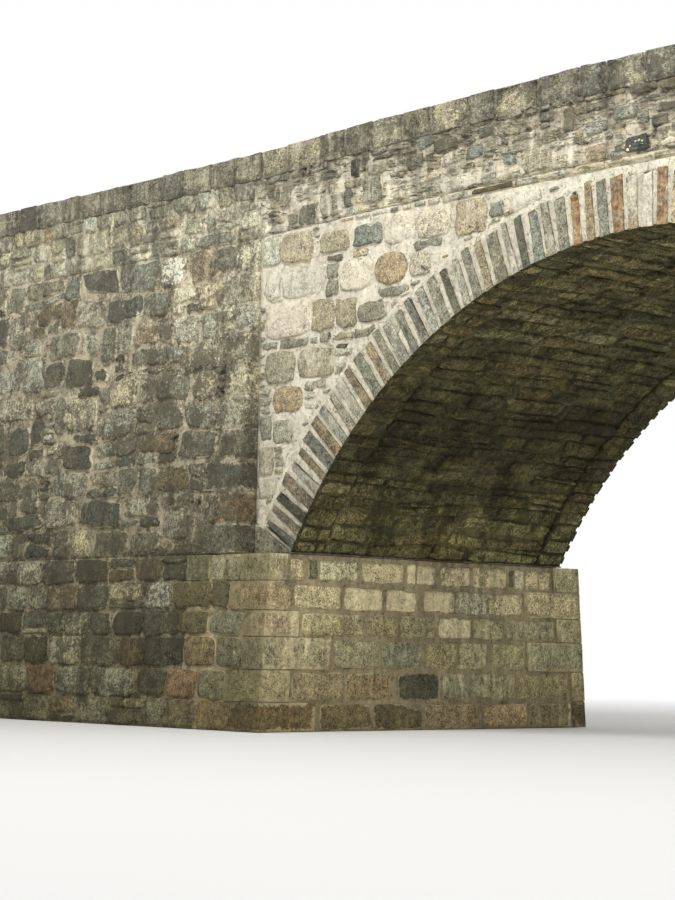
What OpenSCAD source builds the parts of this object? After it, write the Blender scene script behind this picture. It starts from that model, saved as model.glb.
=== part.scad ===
// Single-arch rubble and ashlar road bridge, in millimetres.
// X runs along the road, Y across it, Z up. The origin is on the ground
// under the middle of the arch, halfway between the two faces.

/* [Arch] */
// Clear span between the abutments at springing level
arch_span = 9500; // [7500:100:11500]
// Height of the soffit at the crown above springing level
arch_rise = 2800; // [2200:50:3400]
// Depth of the arch ring, measured outward from the soffit
ring_depth = 600; // [450:10:700]
// Number of stones in each face ring, with one at the crown
ring_count = 71; // [45:2:85]
// Width of the mortar joint between ring stones at the soffit
ring_joint = 50; // [30:2:70]
// How much the stones of a ring differ in thickness
ring_unevenness = 40; // [0:2:50]
// How far the shortest ring stones stop below the back of the ring
ring_stagger = 80; // [0:5:120]
// How far mortar lies back from the face and soffit of the ring
joint_recess = 14; // [4:2:30]

/* [Walls] */
// Width of the bridge from face to face at road level
bridge_width = 4200; // [3200:100:6000]
// Thickness of parapets, spandrels, ring stones and the top of wing walls
wall_t = 450; // [350:10:600]
// The battered faces lean in by 1 in this number
batter_run = 12; // [9:0.5:20]
// Gap along the ledge between the back of the ring and the wing wall
shoulder = 75; // [30:5:300]
// Length of abutment built in under each wing wall
abutment_tail = 750; // [400:50:1200]
// Length of each wing wall past the abutment
wing_length = 4800; // [3000:100:6000]
// Thickness of the walls that close the approaches
end_wall_t = 450; // [300:10:700]

/* [Heights] */
// Height of springing level above the foot of the abutments
springing_h = 1850; // [1200:50:2600]
// Mortar bed between the ring at the crown and the slab course
crown_bed = 20; // [10:5:60]
// Thickness of the slab course over the crown
slab_t = 80; // [50:5:120]
// Length of the slab course
slab_run = 5200; // [3000:100:7000]
// Mean length of a slab in the course
slab_pitch = 430; // [300:10:700]
// Joint between neighbouring slabs
slab_joint = 12; // [4:2:20]
// How far the road rises from the wing walls to the crown
hump_rise = 100; // [40:10:200]
// Height of the parapet wall under its coping
parapet_h = 660; // [500:10:900]

/* [Coping] */
// Height of the tallest coping stones
coping_h = 300; // [200:10:400]
// Mean length of a coping stone along the parapet
cope_pitch = 450; // [350:10:700]
// Joint between neighbouring coping stones
cope_joint = 16; // [6:2:30]
// How much the coping stones differ in height
cope_unevenness = 30; // [0:5:50]

/* [Road] */
// Height of the road surface above the foot of the parapets
road_lift = 100; // [40:10:150]
// Thickness of the road bed
road_t = 150; // [110:10:200]

/* [Hidden] */
$fn = 360;

// Arch circle: its radius, half angle and centre height
arch_r = (pow(arch_span / 2, 2) + pow(arch_rise, 2)) / (2 * arch_rise);
half_angle = asin(arch_span / 2 / arch_r);
arch_centre_z = springing_h + arch_rise - arch_r;
back_r = arch_r + ring_depth;

// Places along the road, measured from the middle of the arch
river_x = arch_span / 2;
joint_x = river_x + ring_depth * sin(half_angle) + shoulder;
abutment_x = joint_x + abutment_tail;
end_x = abutment_x + wing_length;
face_y = bridge_width / 2;
inner_y = face_y - wall_t;
skew_z = springing_h + (joint_x - river_x) / tan(half_angle);

// Levels of the road line, where parapets stand on the walls below
crown_z = springing_h + arch_rise + ring_depth + crown_bed + slab_t;
wing_z = crown_z - hump_rise;

// Reach of a battered face beyond the parapet's face, at height z
function batter_out(z) = (wing_z - z) / batter_run;

// Coping stones and slabs vary in length by up to this share of their pitch
joint_shift = 0.25;
seed_middle = 7;
seed_side = 19;
seed_slab = 29;

// Joints of a run of stones between two places along the road
function uneven_joints(x0, x1, pitch, seed) =
    let (n = max(2, round((x1 - x0) / pitch)),
         step = (x1 - x0) / n,
         shift = rands(-joint_shift, joint_shift, n + 1, seed))
    [for (k = [0 : n]) x0 + step * (k + (k == 0 || k == n ? 0 : shift[k]))];

// The road line is straight between the joints of the middle coping stones
hump_x = uneven_joints(-joint_x, joint_x, cope_pitch, seed_middle);
function hump_height(x) = wing_z + hump_rise * (1 - pow(x / joint_x, 2));
road_line = concat([[-end_x - 1, wing_z]], [for (x = hump_x) [x, hump_height(x)]], [[end_x + 1, wing_z]]);
function road_z(x) = lookup(x, road_line);
function road_path(x0, x1, up) = concat(
    [[x0, road_z(x0) + up]],
    [for (x = hump_x) if (x > x0 + 0.01 && x < x1 - 0.01) [x, road_z(x) + up]],
    [[x1, road_z(x1) + up]]);
function reversed(list) = [for (k = [len(list) - 1 : -1 : 0]) list[k]];

// Ring stones: each is a slab on edge, centred on its own radius
ring_pitch_angle = 2 * half_angle / ring_count;
stone_t_mean = arch_r * ring_pitch_angle * PI / 180 - ring_joint;
stone_spread = rands(-0.5, 0.5, ring_count, 31);
stone_short = rands(0, 1, ring_count, 47);
function stone_angle(i) = -half_angle + (i + 0.5) * ring_pitch_angle;
function stone_half_t(i) = (stone_t_mean + ring_unevenness * stone_spread[i]) / 2;
function stone_end(i) = back_r - ring_stagger * stone_short[i];
mortar_end = back_r - ring_stagger / 2;

// A point on the side of a ring stone: side is -1 or 1, r the distance out
function stone_side(i, side, r) =
    let (a = stone_angle(i), h = side * stone_half_t(i))
    [r * sin(a) + h * cos(a), arch_centre_z + r * cos(a) - h * sin(a)];
function springing_point(side, r) =
    [side * r * sin(half_angle), arch_centre_z + r * cos(half_angle)];

// Sides of mortar joint i, which lies before ring stone i
function joint_left(i, r) = i == 0 ? springing_point(-1, r) : stone_side(i - 1, 1, r);
function joint_right(i, r) = i == ring_count ? springing_point(1, r) : stone_side(i, -1, r);

// The same point counted from the springing of either half, drawn at the left
function half_side(right, i, side, r) =
    let (p = right ? stone_side(ring_count - 1 - i, -side, r) : stone_side(i, side, r))
    [right ? -p[0] : p[0], p[1]];
function half_end(right, i) = stone_end(right ? ring_count - 1 - i : i);

// Back of half the ring from the springing to the crown, stepping over each stone
key = (ring_count - 1) / 2;
function ring_back(right) = concat(
    [springing_point(-1, mortar_end), half_side(right, 0, -1, mortar_end)],
    [for (i = [0 : key - 1]) each [
        half_side(right, i, -1, half_end(right, i)), half_side(right, i, 1, half_end(right, i)),
        half_side(right, i, 1, mortar_end), half_side(right, i + 1, -1, mortar_end)]],
    [half_side(right, key, -1, stone_end(key)), [0, arch_centre_z + stone_end(key)]]);

// Raises an outline drawn along and up into a wall between two places across
module upright(y0, y1) {
    translate([0, y1, 0]) rotate([90, 0, 0]) linear_extrude(y1 - y0) children();
}

// Puts a piece drawn at the front left on another corner of the bridge
module at_corner(right, back) {
    mirror([right ? 1 : 0, 0, 0]) mirror([0, back ? 1 : 0, 0]) children();
}

module abutment(right) {
    color("#8f8a7d") at_corner(right, false)
        translate([-abutment_x, 0, 0]) rotate([90, 0, 90])
            linear_extrude(abutment_x - river_x)
                polygon([
                    [-face_y - batter_out(0), 0], [face_y + batter_out(0), 0],
                    [face_y + batter_out(springing_h), springing_h],
                    [-face_y - batter_out(springing_h), springing_h]]);
}

// Wedge stone course that turns the flat abutment top to the first radius
module springer(right) {
    color("#8f8a7d") at_corner(right, false)
        upright(-face_y, face_y)
            polygon([[-river_x, springing_h], [-joint_x, skew_z], [-joint_x, springing_h]]);
}

module arch_barrel(from_angle, to_angle) {
    reach = 2 * back_r;
    color("#5d5647") upright(-inner_y, inner_y)
        translate([0, arch_centre_z]) intersection() {
            difference() {
                circle(back_r);
                circle(arch_r);
            }
            polygon([[0, 0],
                [reach * sin(from_angle), reach * cos(from_angle)],
                [reach * sin(to_angle), reach * cos(to_angle)]]);
        }
}

module ring_stones(back) {
    color("#9a958a") at_corner(false, back)
        for (i = [0 : ring_count - 1])
            upright(-face_y, -inner_y)
                polygon([
                    stone_side(i, -1, arch_r), stone_side(i, -1, stone_end(i)),
                    stone_side(i, 1, stone_end(i)), stone_side(i, 1, arch_r)]);
}

module ring_mortar(back) {
    inner_r = arch_r + joint_recess;
    color("#d8d0bd") at_corner(false, back)
        for (i = [0 : ring_count])
            upright(-face_y + joint_recess, -inner_y)
                polygon([
                    joint_left(i, inner_r), joint_left(i, mortar_end),
                    joint_right(i, mortar_end), joint_right(i, inner_r)]);
}

module spandrel(right, back) {
    slab_x = slab_run / 2;
    color("#b3aa98") at_corner(right, back)
        upright(-face_y, -inner_y)
            polygon(concat(
                [[-joint_x, skew_z]],
                ring_back(right),
                reversed(road_path(-slab_x, 0, -slab_t)),
                reversed(road_path(-joint_x, -slab_x, 0))));
}

module wing_wall(right, back) {
    color("#7d766a") at_corner(right, back)
        difference() {
            translate([-end_x, 0, 0]) rotate([90, 0, 90])
                linear_extrude(end_x - joint_x)
                    polygon([
                        [-face_y - batter_out(0), 0], [-inner_y, 0],
                        [-inner_y, wing_z], [-face_y, wing_z]]);
            translate([-abutment_x, -2 * face_y, -1])
                cube([2 * abutment_tail, 4 * face_y, springing_h + 1]);
        }
}

module end_wall(right) {
    color("#7d766a") at_corner(right, false)
        translate([-end_x, -inner_y, 0])
            cube([end_wall_t, 2 * inner_y, wing_z + road_lift - road_t]);
}

module fill(right) {
    color("#6f6552") at_corner(right, false)
        upright(-inner_y, inner_y)
            difference() {
                polygon(concat(
                    [[0, arch_centre_z], [-joint_x, skew_z], [-joint_x, springing_h],
                     [-abutment_x, springing_h], [-abutment_x, 0], [-end_x + end_wall_t, 0]],
                    road_path(-end_x + end_wall_t, 0, road_lift - road_t)));
                translate([0, arch_centre_z]) circle(back_r);
            }
}

// Thin slabs over the crown, with an open joint between neighbours
module slab_course(back) {
    joints = uneven_joints(-slab_run / 2, slab_run / 2, slab_pitch, seed_slab + (back ? 1 : 0));
    color("#8d8a80") at_corner(false, back)
        for (k = [0 : len(joints) - 2]) {
            x0 = joints[k] + slab_joint / 2;
            x1 = joints[k + 1] - slab_joint / 2;
            upright(-face_y, -inner_y)
                polygon(concat(road_path(x0, x1, -slab_t), reversed(road_path(x0, x1, 0))));
        }
}

module parapet(x0, x1, back) {
    color("#99917f") at_corner(false, back)
        upright(-face_y, -inner_y)
            polygon(concat(road_path(x0, x1, 0), reversed(road_path(x0, x1, parapet_h))));
}

// Coping stones stand on the parapet with an open joint between neighbours
module coping(joints, seed, back) {
    top = rands(coping_h - cope_unevenness, coping_h, len(joints), seed);
    color("#6e6b63") at_corner(false, back)
        for (k = [0 : len(joints) - 2]) {
            x0 = joints[k] + cope_joint / 2;
            x1 = joints[k + 1] - cope_joint / 2;
            upright(-face_y, -inner_y)
                polygon([
                    [x0, road_z(x0) + parapet_h], [x1, road_z(x1) + parapet_h],
                    [x1, road_z(x1) + parapet_h + top[k]], [x0, road_z(x0) + parapet_h + top[k]]]);
        }
}

module coping_side(right, back) {
    seed = seed_side + (right ? 2 : 0) + (back ? 1 : 0);
    at_corner(right, false) coping(uneven_joints(-end_x, -joint_x, cope_pitch, seed), seed, back);
}

module coping_middle(back) {
    coping(hump_x, seed_middle + (back ? 1 : 0), back);
}

module roadway() {
    color("#8a8272") upright(-inner_y, inner_y)
        polygon(concat(
            road_path(-end_x, end_x, road_lift - road_t),
            reversed(road_path(-end_x, end_x, road_lift))));
}

abutment(false);  // abutment_left
abutment(true);  // abutment_right
springer(false);  // springer_left
springer(true);  // springer_right
arch_barrel(-half_angle, -half_angle / 3);  // arch_barrel_left
arch_barrel(-half_angle / 3, half_angle / 3);  // arch_barrel_crown
arch_barrel(half_angle / 3, half_angle);  // arch_barrel_right
ring_stones(false);  // ring_stones_front
ring_stones(true);  // ring_stones_back
ring_mortar(false);  // ring_mortar_front
ring_mortar(true);  // ring_mortar_back
spandrel(false, false);  // spandrel_front_left
spandrel(true, false);  // spandrel_front_right
spandrel(false, true);  // spandrel_back_left
spandrel(true, true);  // spandrel_back_right
wing_wall(false, false);  // wing_wall_front_left
wing_wall(true, false);  // wing_wall_front_right
wing_wall(false, true);  // wing_wall_back_left
wing_wall(true, true);  // wing_wall_back_right
end_wall(false);  // end_wall_left
end_wall(true);  // end_wall_right
fill(false);  // fill_left
fill(true);  // fill_right
slab_course(false);  // slab_course_front
slab_course(true);  // slab_course_back
parapet(-end_x, -joint_x, false);  // parapet_front_left
parapet(-joint_x, joint_x, false);  // parapet_front_middle
parapet(joint_x, end_x, false);  // parapet_front_right
parapet(-end_x, -joint_x, true);  // parapet_back_left
parapet(-joint_x, joint_x, true);  // parapet_back_middle
parapet(joint_x, end_x, true);  // parapet_back_right
coping_side(false, false);  // coping_front_left
coping_middle(false);  // coping_front_middle
coping_side(true, false);  // coping_front_right
coping_side(false, true);  // coping_back_left
coping_middle(true);  // coping_back_middle
coping_side(true, true);  // coping_back_right
roadway();
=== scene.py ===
"""Stone arch bridge: rough stones, lime mortar, gravel road and a plain studio, in metres."""

import functools
import itertools
import math

import bpy
import numpy as np
from mathutils import Matrix, Vector
from numpy.random import RandomState


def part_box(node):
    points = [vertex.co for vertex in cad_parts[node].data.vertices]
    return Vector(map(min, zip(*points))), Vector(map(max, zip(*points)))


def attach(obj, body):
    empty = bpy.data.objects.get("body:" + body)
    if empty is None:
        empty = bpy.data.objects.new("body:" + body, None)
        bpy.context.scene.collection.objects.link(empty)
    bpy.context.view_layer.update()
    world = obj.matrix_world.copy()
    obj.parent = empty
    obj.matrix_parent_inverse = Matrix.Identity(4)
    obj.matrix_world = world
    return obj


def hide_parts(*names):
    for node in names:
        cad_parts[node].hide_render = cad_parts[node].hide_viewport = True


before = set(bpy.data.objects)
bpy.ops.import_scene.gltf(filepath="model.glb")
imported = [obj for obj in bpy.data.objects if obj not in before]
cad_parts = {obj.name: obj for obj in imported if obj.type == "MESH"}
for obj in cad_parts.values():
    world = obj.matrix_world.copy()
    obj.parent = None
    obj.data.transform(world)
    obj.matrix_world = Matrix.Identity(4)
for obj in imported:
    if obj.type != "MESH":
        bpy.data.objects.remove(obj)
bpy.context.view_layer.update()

# Sizes of the bridge, the same as in its source
ARCH_SPAN = 9.5
ARCH_RISE = 2.8
RING_DEPTH = 0.6
RING_STAGGER = 0.08
FACE_Y = 2.1
INNER_Y = 1.65
BATTER_RUN = 12
SHOULDER = 0.075
ABUTMENT_TAIL = 0.75
WING_LENGTH = 4.8
END_WALL = 0.45
SPRINGING = 1.85
SLAB_T = 0.08
SLAB_REACH = 2.6
HUMP_RISE = 0.1
CROWN_BED = 0.02
PARAPET_H = 0.66
COPING_LINE = 0.284
ROAD_LIFT = 0.1
ROAD_T = 0.15

RIVER_X = ARCH_SPAN / 2
ARCH_R = (RIVER_X ** 2 + ARCH_RISE ** 2) / (2 * ARCH_RISE)
HALF_ANGLE = math.asin(RIVER_X / ARCH_R)
ARCH_Z = SPRINGING + ARCH_RISE - ARCH_R
VAULT_REACH = HALF_ANGLE * ARCH_R
BACK_R = ARCH_R + RING_DEPTH
JOINT_X = RIVER_X + RING_DEPTH * math.sin(HALF_ANGLE) + SHOULDER
ABUTMENT_X = JOINT_X + ABUTMENT_TAIL
END_X = ABUTMENT_X + WING_LENGTH
SKEW_Z = SPRINGING + (JOINT_X - RIVER_X) / math.tan(HALF_ANGLE)
CROWN_Z = SPRINGING + ARCH_RISE + RING_DEPTH + CROWN_BED + SLAB_T
WING_Z = CROWN_Z - HUMP_RISE
WALL_T = FACE_Y - INNER_Y

# How far mortar and stones lie behind the plane of a face, and how deep an arris is rounded at most
MORTAR_BACK = 0.033
STONE_BACK = 0.008
LEAST_DEPTH = 0.0015

# Directions of a block in a wall
ALONG, UPWARD, INWARD = 0, 1, 2

SIDES = {"left": 1, "right": -1}
FACES = {"front": 1, "back": -1}


# camera

def place_camera():
    """The camera stands low in front of the right half and looks up at the left half."""
    yaw, pitch, roll = (math.radians(angle) for angle in (47.73, 5.15, 0.86))
    ahead = Vector((-math.sin(yaw) * math.cos(pitch), math.cos(yaw) * math.cos(pitch), math.sin(pitch)))
    right = Vector((math.cos(yaw), math.sin(yaw), 0))
    up = right.cross(ahead)
    camera_right = right * math.cos(roll) + up * math.sin(roll)
    camera_up = up * math.cos(roll) - right * math.sin(roll)
    data = bpy.data.cameras.new("camera")
    data.sensor_width = 36
    data.lens = 90.39
    data.clip_end = 400
    camera = bpy.data.objects.new("camera", data)
    turn = Matrix((camera_right, camera_up, -ahead)).transposed()
    camera.matrix_world = Matrix.Translation((12.96, -17.567, 0.815)) @ turn.to_4x4()
    bpy.context.scene.collection.objects.link(camera)
    bpy.context.scene.camera = camera


# noise

def spaced(x, y, z):
    """Points in space. A coordinate may be one number for all of them."""
    return np.stack(np.broadcast_arrays(x, y, z), 1)


def lattice(ix, iy, iz, seed):
    """A fixed random number from 0 to 1 for each point of a lattice."""
    mask = 0xFFFFFFFF
    h = (ix * 374761393 + iy * 668265263 + iz * 1103515245 + seed * 1274126177) & mask
    h = ((h ^ (h >> 13)) * 1274126177) & mask
    return ((h ^ (h >> 16)) & 0xFFFFFF) / 0xFFFFFF


def lumps(points, size, seed=0):
    """Smooth noise from -1 to 1 with lumps of about the given size."""
    q = np.asarray(points, float) / size
    base = np.floor(q)
    f = q - base
    f = f * f * (3 - 2 * f)
    i = base.astype(np.int64)
    total = 0
    for corner in itertools.product((0, 1), repeat=3):
        weight = np.where(corner, f, 1 - f)
        total = total + weight[:, 0] * weight[:, 1] * weight[:, 2] * lattice(*(i + corner).T, seed)
    return 2 * total - 1


def crags(points, size, seed=0):
    """Rough noise: lumps of three sizes."""
    return (0.55 * lumps(points, size, seed) + 0.3 * lumps(points, size / 2.3, seed + 1)
            + 0.15 * lumps(points, size / 5.1, seed + 2))


# stone kinds

# Each kind: its colour, then how speckled, rusty and lime-washed it is
KINDS = {
    "grey": ((0.27, 0.262, 0.19), 0.55, 0.05, 0.25),
    "granite": ((0.37, 0.365, 0.28), 0.9, 0.02, 0.3),
    "grey_dark": ((0.15, 0.148, 0.105), 0.4, 0.05, 0.15),
    "black": ((0.07, 0.071, 0.055), 0.3, 0.0, 0.1),
    "blue_grey": ((0.25, 0.257, 0.2), 0.3, 0.03, 0.12),
    "blue_dark": ((0.092, 0.093, 0.069), 0.3, 0.0, 0.08),
    "beige": ((0.44, 0.388, 0.26), 0.6, 0.12, 0.2),
    "beige_grey": ((0.34, 0.315, 0.21), 0.6, 0.1, 0.25),
    "pale": ((0.48, 0.458, 0.34), 0.55, 0.05, 0.35),
    "white": ((0.56, 0.52, 0.4), 0.55, 0.04, 0.4),
    "cream": ((0.47, 0.42, 0.285), 0.9, 0.12, 0.55),
    "brown": ((0.32, 0.266, 0.165), 1.1, 0.25, 0.1),
    "brown_dark": ((0.14, 0.118, 0.07), 0.4, 0.3, 0.08),
    "tan": ((0.25, 0.208, 0.135), 0.8, 0.25, 0.2),
    "rust": ((0.36, 0.29, 0.185), 1.0, 0.75, 0.3),
    "pink": ((0.38, 0.305, 0.205), 0.5, 0.15, 0.25),
    "red": ((0.2, 0.147, 0.1), 0.5, 0.25, 0.15),
    # The damp kinds are dark stone; in the vault their darkness is partly painted shade under the arch
    "damp": ((0.085, 0.078, 0.045), 0.4, 0.1, 0.05),
    "damp_dark": ((0.04, 0.039, 0.024), 0.2, 0.05, 0.0),
    "damp_brown": ((0.095, 0.081, 0.046), 0.3, 0.12, 0.03),
    "damp_pale": ((0.13, 0.119, 0.07), 1.2, 0.1, 0.4),
}
# What stands in for a kind where there is mortar: its looks
MORTAR = ((0.5, 0.45, 0.35, 1.0), (0.0, 0.0, 0.3, 1.0))


def mix_of(**shares):
    """Kinds of stone with how often each is picked."""
    weights = np.array(list(shares.values()), float)
    return list(shares), weights / weights.sum()


def pick(mix, rng):
    return mix[0][int(rng.choice(len(mix[0]), p=mix[1]))]


WING_MIX = mix_of(grey_dark=38, grey=25, brown_dark=6, blue_dark=22, black=2, beige_grey=6, granite=1)
WING_TOP_MIX = mix_of(grey=44, beige_grey=32, grey_dark=12, granite=9, tan=3)
WING_LOW_MIX = mix_of(grey_dark=24, brown_dark=18, blue_dark=8, damp=10, grey=16, beige_grey=10, tan=6,
                      red=3, granite=9)
SPANDREL_MIX = mix_of(pale=24, beige_grey=20, granite=22, white=12, grey=10, beige=9, brown=3)
ABUTMENT_SIDE_MIX = mix_of(grey_dark=22, brown_dark=20, blue_dark=6, damp=22, beige_grey=18, tan=6, red=4)
PINNING_MIX = mix_of(grey=34, grey_dark=3, beige_grey=28, granite=18, brown=5, pale=12)
PARAPET_MIX = mix_of(grey=31, grey_dark=8, beige_grey=33, blue_grey=4, granite=17, brown=2, pale=5)
PARAPET_END_MIX = mix_of(grey=42, grey_dark=14, beige_grey=28, granite=14, brown=2)
ASHLAR_MIX = mix_of(beige_grey=34, grey=30, tan=14, pink=4, blue_grey=4, granite=10, pale=4)
SOFFIT_MIX = mix_of(damp=58, damp_dark=10, damp_brown=26, damp_pale=6)
SPRINGING_MIX = mix_of(damp=36, damp_dark=6, damp_brown=20, damp_pale=38)
RING_MIX = mix_of(grey=24, granite=18, beige_grey=18, blue_grey=14, rust=10, brown=10, grey_dark=6)
COPING_MIX = mix_of(grey=54, grey_dark=8, beige_grey=32, granite=6)
SLAB_MIX = mix_of(grey_dark=8, grey=26, beige_grey=38, granite=14, brown_dark=4, pale=10)


def looks_of(kind, rng, layered=1.0):
    """Colour and traits of one stone, a little off its kind."""
    tint, speckle, rust, lime = KINDS[kind]
    level = rng.uniform(0.87, 1.13)
    warm = rng.uniform(-0.05, 0.05)
    colour = (tint[0] * level * (1 + warm), tint[1] * level, tint[2] * level * (1 - warm), 1.0)
    traits = (speckle * rng.uniform(0.6, 1.3), rust * rng.uniform(0.3, 1.2), lime * rng.uniform(0.4, 1.5),
              layered)
    return colour, traits


# masonry meshes

class Masonry:
    """Gathers the stones and mortar of one piece, with what their finish needs at each point."""

    def __init__(self):
        self.faces = []
        self.count = 0
        self.points, self.tints, self.traits, self.edges, self.soils = [], [], [], [], []

    # The last value darkens each point: damp dirt, and painted shade on the ring stones
    def add(self, points, faces, looks, edge, soil=0.0):
        n = len(points)
        self.faces += [tuple(self.count + i for i in face) for face in faces]
        self.count += n
        self.points.append(points)
        self.tints.append(np.tile(looks[0], (n, 1)))
        self.traits.append(np.tile(looks[1], (n, 1)))
        self.edges.append(np.broadcast_to(edge, (n,)))
        self.soils.append(np.broadcast_to(soil, (n,)))

    def build(self, node, made_of, finish, slot):
        """Makes the piece that stands for a node."""
        name = f"{node}_{made_of}"
        mesh = bpy.data.meshes.new(name)
        mesh.from_pydata(np.concatenate(self.points).tolist(), [], self.faces, shade_flat=False)
        for label, kind, field, values in (("tint", "FLOAT_COLOR", "color", self.tints),
                                           ("traits", "FLOAT_COLOR", "color", self.traits),
                                           ("edge", "FLOAT", "value", self.edges),
                                           ("soil", "FLOAT", "value", self.soils)):
            layer = mesh.attributes.new(label, kind, "POINT")
            layer.data.foreach_set(field, np.concatenate(values).astype(np.float32).ravel())
        mesh.materials.append(MATERIALS[finish])
        mesh.update()
        piece = bpy.data.objects.new(name, mesh)
        bpy.context.scene.collection.objects.link(piece)
        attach(piece, "root")
        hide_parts(node)


def is_mirrored(place, at, step=1e-3):
    """Whether a map from (along, up, into the wall) to space turns shapes inside out."""
    p = place(*(np.asarray(at, float) + step * np.eye(4, 3, -1)).T)
    return np.linalg.det((p[1:] - p[0]) / step) < 0


def between(corners, s, t):
    """Places at the shares s and t of the way across and up four corners."""
    c = np.asarray(corners, float)
    return c[0] * (1 - s) * (1 - t) + c[1] * s * (1 - t) + c[2] * s * t + c[3] * (1 - s) * t


# stones with one face in view

def stone_outline(corners, rng, squareness=0.9, corner=0.1, wobble=0.008, per_side=4):
    """Points round a stone that fills four corners, anticlockwise from the lower left."""
    shares = np.linspace(corner, 1 - corner, per_side)
    unit = np.array([(u, 0) for u in shares] + [(1, u) for u in shares]
                    + [(1 - u, 1) for u in shares] + [(0, 1 - u) for u in shares])
    v = unit * 2 - 1
    v = v * squareness + v / np.linalg.norm(v, axis=1)[:, None] * (1 - squareness)
    u = (v + 1) / 2
    outline = between(corners, u[:, :1], u[:, 1:])
    return outline + rng.normal(0, wobble, outline.shape)


def inset_corners(corners, gap, rng, skew):
    """Four corners moved in so that half a joint is left round the stone, each by a little more or less."""
    middle = corners.mean(0)
    half = (corners.max(0) - corners.min(0)) / 2
    share = np.clip(1 - gap / np.maximum(half, 1e-4), 0.25, 1)
    return middle + (corners - middle) * share * (1 - skew * rng.uniform(0, 1, (4, 2)))


def outline_area(outline):
    s, t = outline.T
    return 0.5 * float(np.sum(s * np.roll(t, -1) - t * np.roll(s, -1)))


def lay_stone(work, place, outline, kind, rng, back=STONE_BACK, rough=0.007, dome=0.004, bed=0.05,
              proud=0.005, layered=1.0, hem=1.0):
    """One stone: a rough face with rounded arrises, and a body that runs into the mortar.

    hem is how far the mortar may lie over its edges."""
    middle = outline.mean(0)
    half = (outline.max(0) - outline.min(0)) / 2
    n = len(outline)
    small = float(min(half))
    # Rings of points: how far in from the outline, how deep, and how much of a joint each is
    rings = [(0.0, bed, 1.8), (min(0.012, small * 0.25), 0.005, 0.6 * hem),
             (min(0.045, small * 0.5), 0.0, 0.0)]
    if small > 0.1:
        rings.append((small * 0.72, -dome * 0.8, 0.0))
    insets, depths, edges = zip(*rings)
    tilt = rng.uniform(-0.03, 0.03, 2)
    shelf = rng.uniform(-proud, proud)
    scales = [np.clip(1 - inset / np.maximum(half, 1e-4), 0.1, 1) for inset in insets]
    flat = np.concatenate([middle + (outline - middle) * scale for scale in scales] + [middle[None]])
    depth = np.append(np.repeat(depths, n), -dome) + back + shelf + (flat - middle) @ tilt
    moved = spaced(*(flat + rng.uniform(0, 50, 2)).T, 0.0)
    depth = depth + rough * (crags(moved, 0.16, 5) + 0.5 * np.abs(lumps(moved, 0.09, 8)))
    depth[n:] = np.maximum(depth[n:], LEAST_DEPTH)
    depth[:n] = back + bed
    around = list(zip(range(n), [*range(1, n), 0]))
    tip = len(rings) * n
    faces = [tuple(range(n - 1, -1, -1))]
    faces += [(a + i, a + j, a + n + j, a + n + i) for a in range(0, tip - n, n) for i, j in around]
    faces += [(tip - n + i, tip - n + j, tip) for i, j in around]
    if not is_mirrored(place, (*middle, 0)):
        faces = [face[::-1] for face in faces]
    work.add(place(*flat.T, depth), faces, looks_of(kind, rng, layered), np.append(np.repeat(edges, n), 0.0))


# stones seen from several sides

@functools.lru_cache(None)
def box_shell(counts):
    """Grid positions and faces over the six sides of a box, with the faces turned outward."""
    index, faces = {}, []
    for axis in range(3):
        u, v = (axis + 1) % 3, (axis + 2) % 3
        for end, i, j in itertools.product((0, counts[axis]), range(counts[u]), range(counts[v])):
            quad = []
            for du, dv in ((0, 0), (1, 0), (1, 1), (0, 1)):
                key = [0, 0, 0]
                key[axis], key[u], key[v] = end, i + du, j + dv
                quad.append(index.setdefault(tuple(key), len(index)))
            faces.append(tuple(quad if end else quad[::-1]))
    return np.array(list(index)), faces


def cuts_along(half, radius, cell, plain):
    """Where the grid of a block is cut along one axis, closer together at the arrises."""
    inner = max(half - radius, half * 0.4)
    middle = np.linspace(-inner, inner, max(1, int(round(2 * inner / cell))) + 1)
    if plain:
        return np.concatenate([[-half], middle, [half]])
    near = inner + (half - inner) * 0.6
    return np.concatenate([[-half, -near], middle, [near, half]])


def rough_block(work, place, half, kind, rng, radius=0.02, rough=0.007, cell=0.07, joints=(), wear=0.0,
                lump=0.13, soil=None, plain=False):
    """One block with all its sides. joints lists the sides with mortar against them, as (axis, end)."""
    half = np.asarray(half, float)
    radius = min(radius, float(half.min()) * 0.8)
    cuts = [cuts_along(h, radius, step, plain) for h, step in zip(half, np.broadcast_to(cell, 3))]
    order, faces = box_shell(tuple(len(c) - 1 for c in cuts))
    q = np.stack([c[k] for c, k in zip(cuts, order.T)], 1)
    inner = np.clip(q, radius - half, half - radius)
    out = q - inner
    out = out / np.maximum(np.linalg.norm(out, axis=1)[:, None], 1e-9)
    p = inner + out * radius
    moved = p + rng.uniform(0, 50, 3)
    dents = rough * (0.75 + crags(moved, lump, 7)) + wear * np.maximum(0, lumps(moved, 0.3, 11))
    p = p - out * np.maximum(dents, 0.001)[:, None]
    if kind is MORTAR:
        looks, edge = kind, 2.0
    else:
        looks, edge = looks_of(kind, rng), np.zeros(len(p))
        for axis, end in joints:
            edge = np.maximum(edge, np.clip(1 - (half[axis] - end * q[:, axis]) / 0.035, 0, 1))
    if is_mirrored(place, (0, 0, 0)):
        faces = [face[::-1] for face in faces]
    work.add(place(*p.T), faces, looks, edge, soil(q, half) if soil else 0.0)


def soiled_under(outer):
    """Painted shade, with damp dirt, under a ring stone and on all of it that lies behind its outer face."""
    def soil(q, half):
        behind = np.clip((half[2] - outer * q[:, 2] - 0.004) / 0.02, 0, 1)
        under = np.clip((-q[:, 1] - half[1] + 0.012) / 0.012, 0, 1)
        return np.maximum(behind, under)
    return soil


def soiled_face(amount):
    """Soil on the face of a block."""
    return lambda q, half: amount * np.clip(1 - (half[2] + q[:, 2]) / 0.02, 0, 1)


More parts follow.
